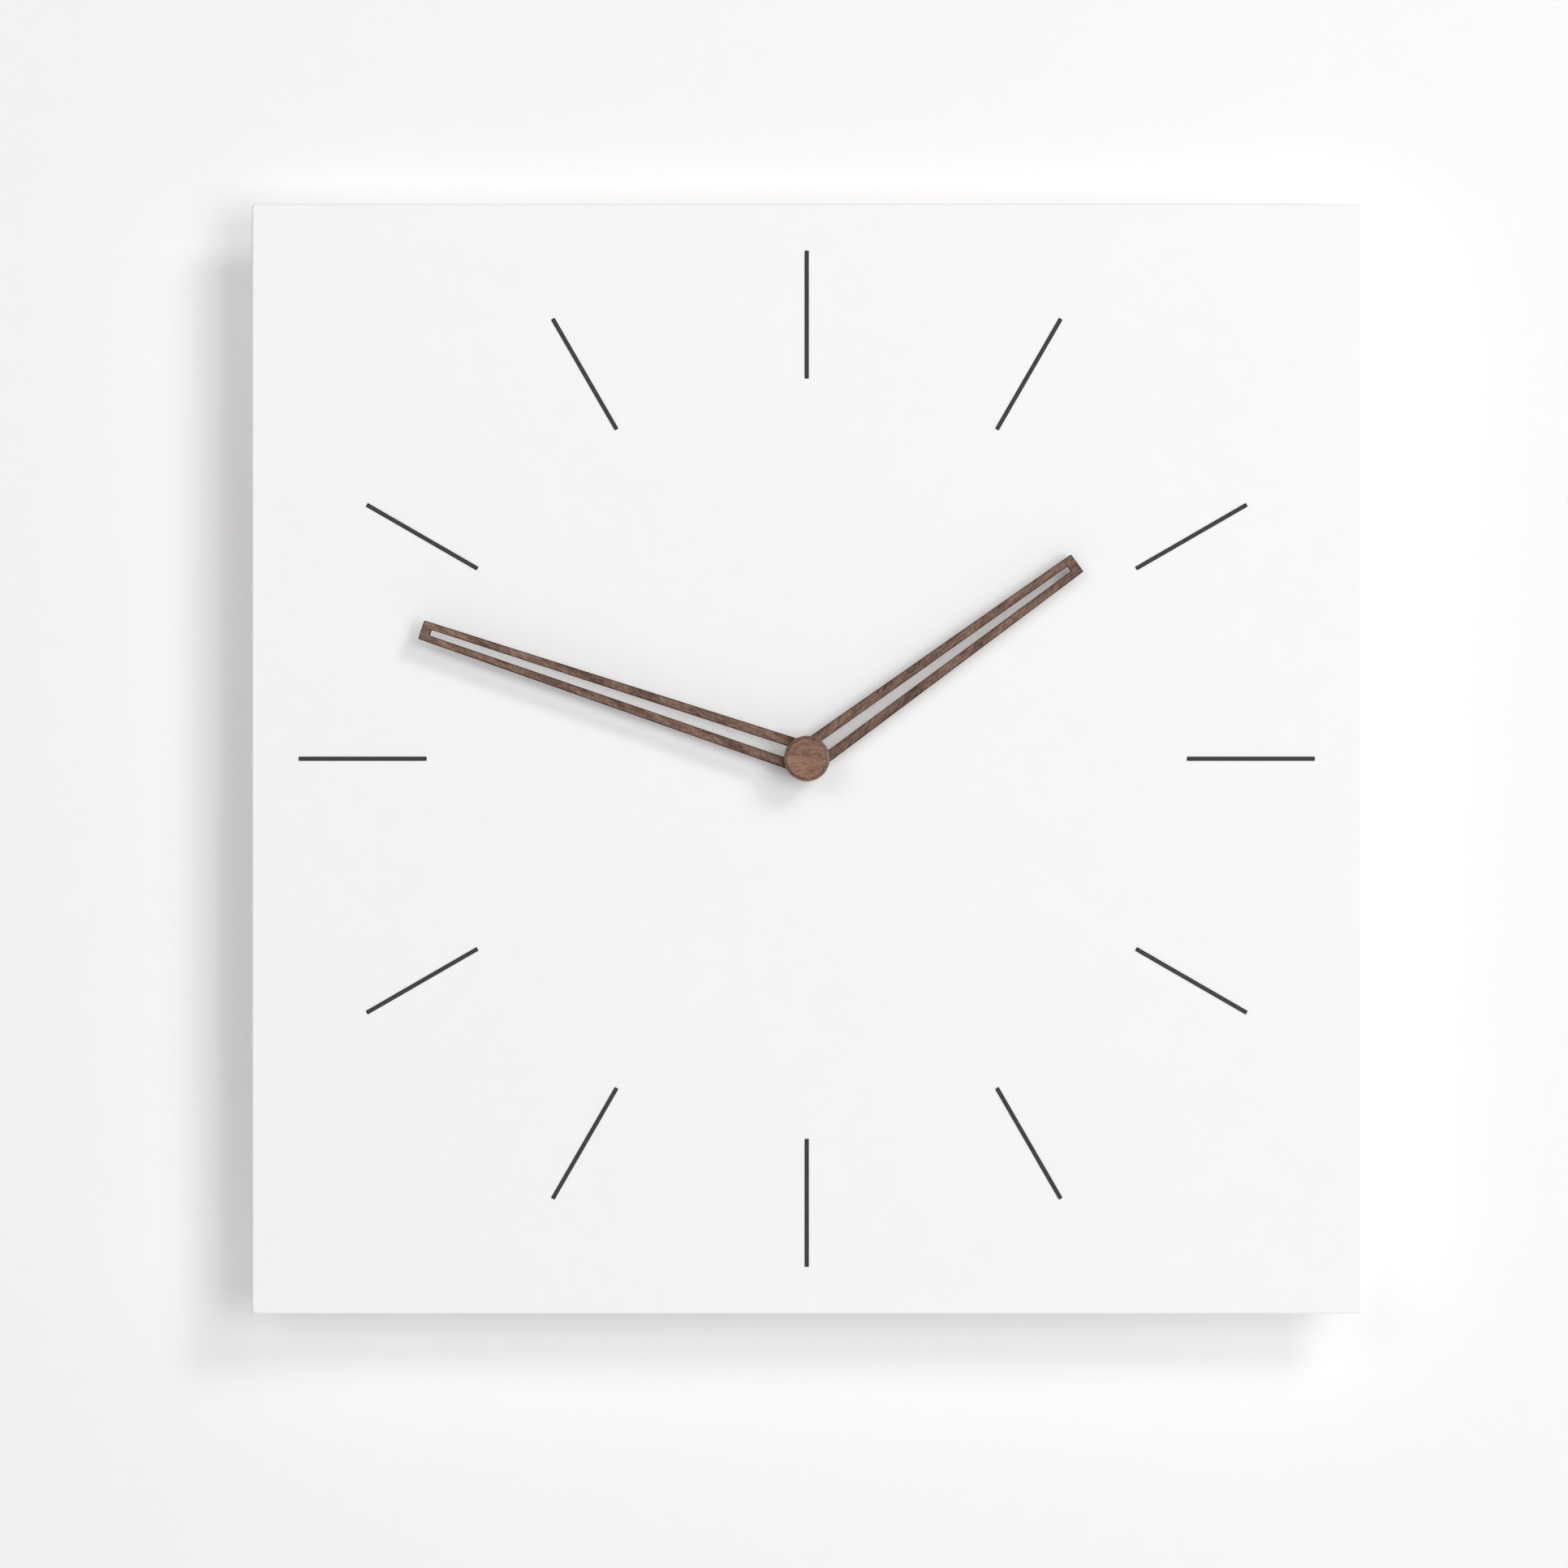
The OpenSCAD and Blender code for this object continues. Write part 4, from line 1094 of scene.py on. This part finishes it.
print("battery")
batteryLook = {
    "sleeve": (0.012, 0.075, 0.052),
    "band": (0.62, 0.36, 0.10),
    "bandShare": 0.27,                   # of the length, from the nub's end
    "stripe": (0.70, 0.70, 0.68),
    "dust": (0.5, 0.5, 0.48),
    "nubRadius": 2.75 * mm,
    "nubLength": 1.0 * mm,
    "nubEase": 0.3 * mm,
    "shoulderRound": 0.7 * mm,
    "baseDip": (0.25 * mm, 2.2 * mm, 1.7 * mm),    # depth, and both ends of its slope from the side
    "topDip": (0.4 * mm, 1.5 * mm, 1.9 * mm),
    "steelFrom": 1.6 * mm,
}


def sleeveMaterial(low, high):
    look = batteryLook
    material, tree, shader = startMaterial("cellSleeve", specular=0.5, coat=0.35)
    own = placedOn(tree)
    place = addNode(tree, "ShaderNodeSeparateXYZ", {0: own}).outputs["X"]
    share = rangeOf(tree, place, high, low)
    bands = addNode(tree, "ShaderNodeValToRGB", {"Fac": share})
    ramp = bands.color_ramp
    ramp.interpolation = "CONSTANT"
    stops = [
        (0.0, look["band"]), (look["bandShare"], look["stripe"]), (look["bandShare"] + 0.02, look["sleeve"]),
        (0.93, look["stripe"]), (0.945, look["sleeve"])]
    ramp.elements[0].position, ramp.elements[0].color = stops[0][0], (*stops[0][1], 1)
    ramp.elements[1].position, ramp.elements[1].color = stops[-1][0], (*stops[-1][1], 1)
    for at, colour in stops[1:-1]:
        ramp.elements.new(at).color = (*colour, 1)
    grit = useGroup(tree, "grit", {"Vector": own, "Size": 1.5})
    faded = rangeOf(tree, grit["Tone"], 0, 1, 0.0, 0.10)
    colour = mixColours(tree, faded, bands.outputs["Color"], (*look["dust"], 1))
    tree.links.new(colour, shader.inputs["Base Color"])
    tree.links.new(rangeOf(tree, grit["Tone"], 0, 1, 0.24, 0.36), shader.inputs["Roughness"])
    bumpFrom(tree, shader, grit["Height"], 0.03, 0.02 * mm)
    return material


def makeBattery():
    look = batteryLook
    low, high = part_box("battery")
    centre, radius = (low + high) / 2, (high.z - low.z) / 2
    nub, ease, bend = look["nubRadius"], look["nubEase"], look["shoulderRound"]
    left, shoulder = low.x, high.x - look["nubLength"]
    baseDeep, baseInner, baseOuter = look["baseDip"]
    topDeep, topOuter, topInner = look["topDip"]
    arc = [(bend * (1 - math.cos(a)), bend * (1 - math.sin(a))) for a in quarterArc(4)]
    profile = [(0, left + baseDeep), (radius - baseInner, left + baseDeep), (radius - baseOuter, left)]
    profile += [(radius - inward, left + along) for along, inward in reversed(arc)]
    profile += [(radius - inward, shoulder - along) for inward, along in arc]
    profile += [
        (radius - topOuter, shoulder), (radius - topInner, shoulder - topDeep),
        (nub + 0.5 * mm, shoulder - topDeep), (nub, shoulder - 0.1 * mm),
        (nub, high.x - ease), (nub - ease, high.x), (0, high.x)]
    cell = turnPiece("battery", profile, centre, axis="X", steps=72)
    smoothShape(cell, 35)
    for face in cell.data.polygons:
        reach = math.hypot(face.center.y - centre.y, face.center.z - centre.z)
        face.material_index = 1 if reach < radius - look["steelFrom"] else 0
    steel = brushedMaterial("canSteel", (0.66, 0.66, 0.66), (0.52, 0.52, 0.53), rough=(0.2, 0.35))
    finishPiece(cell, "battery_body", [sleeveMaterial(low.x, shoulder), steel], "battery")


makeBattery()


print("movement")
blackTones = ((0.026, 0.027, 0.029), (0.040, 0.041, 0.044))
caseLook = {
    "edgeRound": 0.22 * mm,
    "cornerRound": 1.6 * mm,
    "ribs": 6,
    "ribStep": 2.2 * mm,
    "ribWidth": 0.9 * mm,
    "ribDepth": 0.35 * mm,
    "plateDepth": 0.3 * mm,              # shallow recess moulded in the cover
    "plateLow": (-6 * mm, 3 * mm),
    "plateHigh": (23 * mm, 23 * mm),
    "ringRadius": 7.3 * mm,              # groove round the setting knob
    "ringWidth": 0.7 * mm,
    "ribTop": 8 * mm,                    # from the case's top to the first rib
    "ribInset": 3 * mm,
    "plateRound": 1.0 * mm,
    "coverRound": 0.12 * mm,
}
casePlastic = gritMaterial("casePlastic", *blackTones, size=0.35, rough=(0.45, 0.6), bump=0.35, depth=0.03)
knobPlastic = gritMaterial("knobPlastic", *blackTones, size=0.3, rough=(0.38, 0.5), bump=0.2)
nylon = gritMaterial("whiteNylon", (0.74, 0.71, 0.62), (0.82, 0.79, 0.71), size=0.5, rough=(0.35, 0.48))
amber = gritMaterial("amberNylon", (0.55, 0.36, 0.08), (0.65, 0.46, 0.13), size=0.5, rough=(0.3, 0.45))
chipBlack = gritMaterial(
    "chipEpoxy", (0.012, 0.012, 0.013), (0.022, 0.022, 0.023), size=0.3, rough=(0.45, 0.6))
ferrite = gritMaterial(
    "ferrite", (0.045, 0.045, 0.050), (0.075, 0.075, 0.082), size=0.3, rough=(0.45, 0.65), bump=0.3)
ironSheet = brushedMaterial("ironSheet", (0.34, 0.35, 0.37), (0.22, 0.23, 0.25), turn=level)
springSteel = brushedMaterial("springSteel", (0.68, 0.68, 0.67), (0.52, 0.52, 0.52), rough=(0.15, 0.3))


# the case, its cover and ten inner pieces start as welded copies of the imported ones
def shapedCopy(node, name):
    item = ownCopy(frame["nodes"][node], name)
    item.data.materials.clear()
    del item["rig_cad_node"]
    cleanMesh(item)
    applyModifier(item, "DECIMATE", decimate_type="DISSOLVE", angle_limit=math.radians(0.5))
    return item


def makeCase():
    look = caseLook
    low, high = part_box("movement_case")
    case = shapedCopy("movement_case", "movementCase")
    grow = Vector((0, 40 * mm, 0))
    shape = addBox("shape", low - grow, high + grow)
    roundCorners(shape, look["cornerRound"], 5)
    combine(case, shape, "INTERSECT")
    grooves, deep, inset = [], look["ribDepth"], look["ribInset"]
    for number in range(look["ribs"]):
        z = high.z - look["ribTop"] - number * look["ribStep"]
        for x in (low.x, high.x):
            start, end = (x - deep, low.y + inset, z - look["ribWidth"]), (x + deep, high.y - inset, z)
            grooves.append(addBox("rib", start, end))
    combine(case, joinAll(grooves))
    cleanMesh(case)
    easeEdges(case, look["edgeRound"], 40)
    smoothShape(case, 30)
    finishPiece(case, clockBody, casePlastic, "movement_case")


def makeCover():
    look = caseLook
    back = depthSpan("movement_cover")[0]
    cover = shapedCopy("movement_cover", "movementCover")
    (left, bottom), (right, top), deep = look["plateLow"], look["plateHigh"], back + look["plateDepth"]
    plate = addBox("plate", (left, -deep, bottom), (right, mm - back, top))
    roundCorners(plate, look["plateRound"], 4)
    combine(cover, plate)
    knob, inner = centreOf("setting_knob"), look["ringRadius"]
    outer = inner + look["ringWidth"]
    groove = turnPiece("groove", [(inner, back - mm), (outer, back - mm), (outer, deep), (inner, deep)],
                       (knob.x, 0, knob.z), steps=64)
    combine(cover, groove)
    cleanMesh(cover)
    easeEdges(cover, look["coverRound"], 40)
    smoothShape(cover, 30)
    finishPiece(cover, clockBody, casePlastic, "movement_cover")


makeCase()
makeCover()


def windingMaterial():        # close turns of varnished wire round the X axis
    material, tree, shader = startMaterial("copperWinding", metallic=1.0, coat=0.4)
    own = placedOn(tree)
    turns = addNode(tree, "ShaderNodeTexWave", {
        "Vector": own, "Scale": 1800.0, "Distortion": 0.4, "Detail": 1.0},
        wave_type="BANDS", bands_direction="X").outputs["Fac"]
    smear = noiseOf(tree, scaled(tree, own, 400), 3.0)
    colour = mixColours(tree, smear, (0.60, 0.22, 0.075, 1), (0.80, 0.36, 0.15, 1))
    tree.links.new(colour, shader.inputs["Base Color"])
    tree.links.new(rangeOf(tree, smear, 0.3, 0.7, 0.2, 0.36), shader.inputs["Roughness"])
    bumpFrom(tree, shader, turns, 0.6, 0.04 * mm)
    return material


def boardMaterial():          # solder mask over straight copper tracks
    material, tree, shader = startMaterial("solderMask", specular=0.6, coat=0.2)
    own = placedOn(tree, (math.pi / 2, 0, 0), size=(900, 900, 900))
    tracks = addNode(tree, "ShaderNodeTexBrick", {
        "Vector": own, "Color1": (0.015, 0.12, 0.045, 1), "Color2": (0.02, 0.14, 0.055, 1),
        "Mortar": (0.045, 0.24, 0.10, 1), "Scale": 0.5, "Mortar Size": 0.06, "Brick Width": 1.7,
        "Row Height": 0.6})
    tree.links.new(tracks.outputs["Color"], shader.inputs["Base Color"])
    tree.links.new(rangeOf(tree, tracks.outputs["Fac"], 0, 1, 0.28, 0.4), shader.inputs["Roughness"])
    bumpFrom(tree, shader, tracks.outputs["Fac"], 0.3, 0.03 * mm)
    return material


packedLook = {                           # eased pieces: name, slot, material, width of the eased edge
    "setting_knob": ("settingKnob", "black_case", knobPlastic, 0.15 * mm),
    "stator_plate": ("statorPlate", "stator_steel", ironSheet, 0.05 * mm),
    "coil_core": ("coilCore", "stator_steel", ironSheet, 0.05 * mm),
    "coil_bobbin": ("coilBobbin", "bobbin", amber, 0.08 * mm),
    "circuit_board": ("circuitBoard", "circuit_green", boardMaterial(), 0.04 * mm),
    "driver_chip": ("driverChip", "chip_black", chipBlack, 0.08 * mm),
    "quartz_crystal": ("quartzCrystal", "zinc_steel", zinc, 0.12 * mm),
    "positive_contact": ("positiveContact", "zinc_steel", springSteel, 0.05 * mm),
    "negative_plate": ("negativePlate", "zinc_steel", springSteel, 0.05 * mm),
    "rotor_magnet": ("rotorMagnet", "magnet", ferrite, 0.08 * mm),
}
plainLook = {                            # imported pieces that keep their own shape
    "coil_winding": windingMaterial(),
    "negative_spring": springSteel,
    "rotor_pinion": nylon,
    "intermediate_wheel": nylon,
    "second_wheel": nylon,
    "third_wheel": nylon,
    "reduction_wheel": nylon,
    "hour_wheel": nylon,
    "centre_wheel": brass,
    "minute_arbor": zinc,
    "setting_arbor": zinc,
}


def bodyOf(node):
    bodies = frame["record"]["behaviour"]["bodies"]
    return next(body for body, nodes in bodies.items() if node in nodes)


def easePacked(node):
    name, slot, material, width = packedLook[node]
    item = shapedCopy(node, name)
    easeEdges(item, width, 40)
    smoothShape(item, 35)
    finishPiece(item, bodyOf(node), material, node)


for packedNode in packedLook:
    easePacked(packedNode)
for packedNode, packedMaterial in plainLook.items():
    frame["nodes"][packedNode].material_slots[0].material = packedMaterial


print("done")
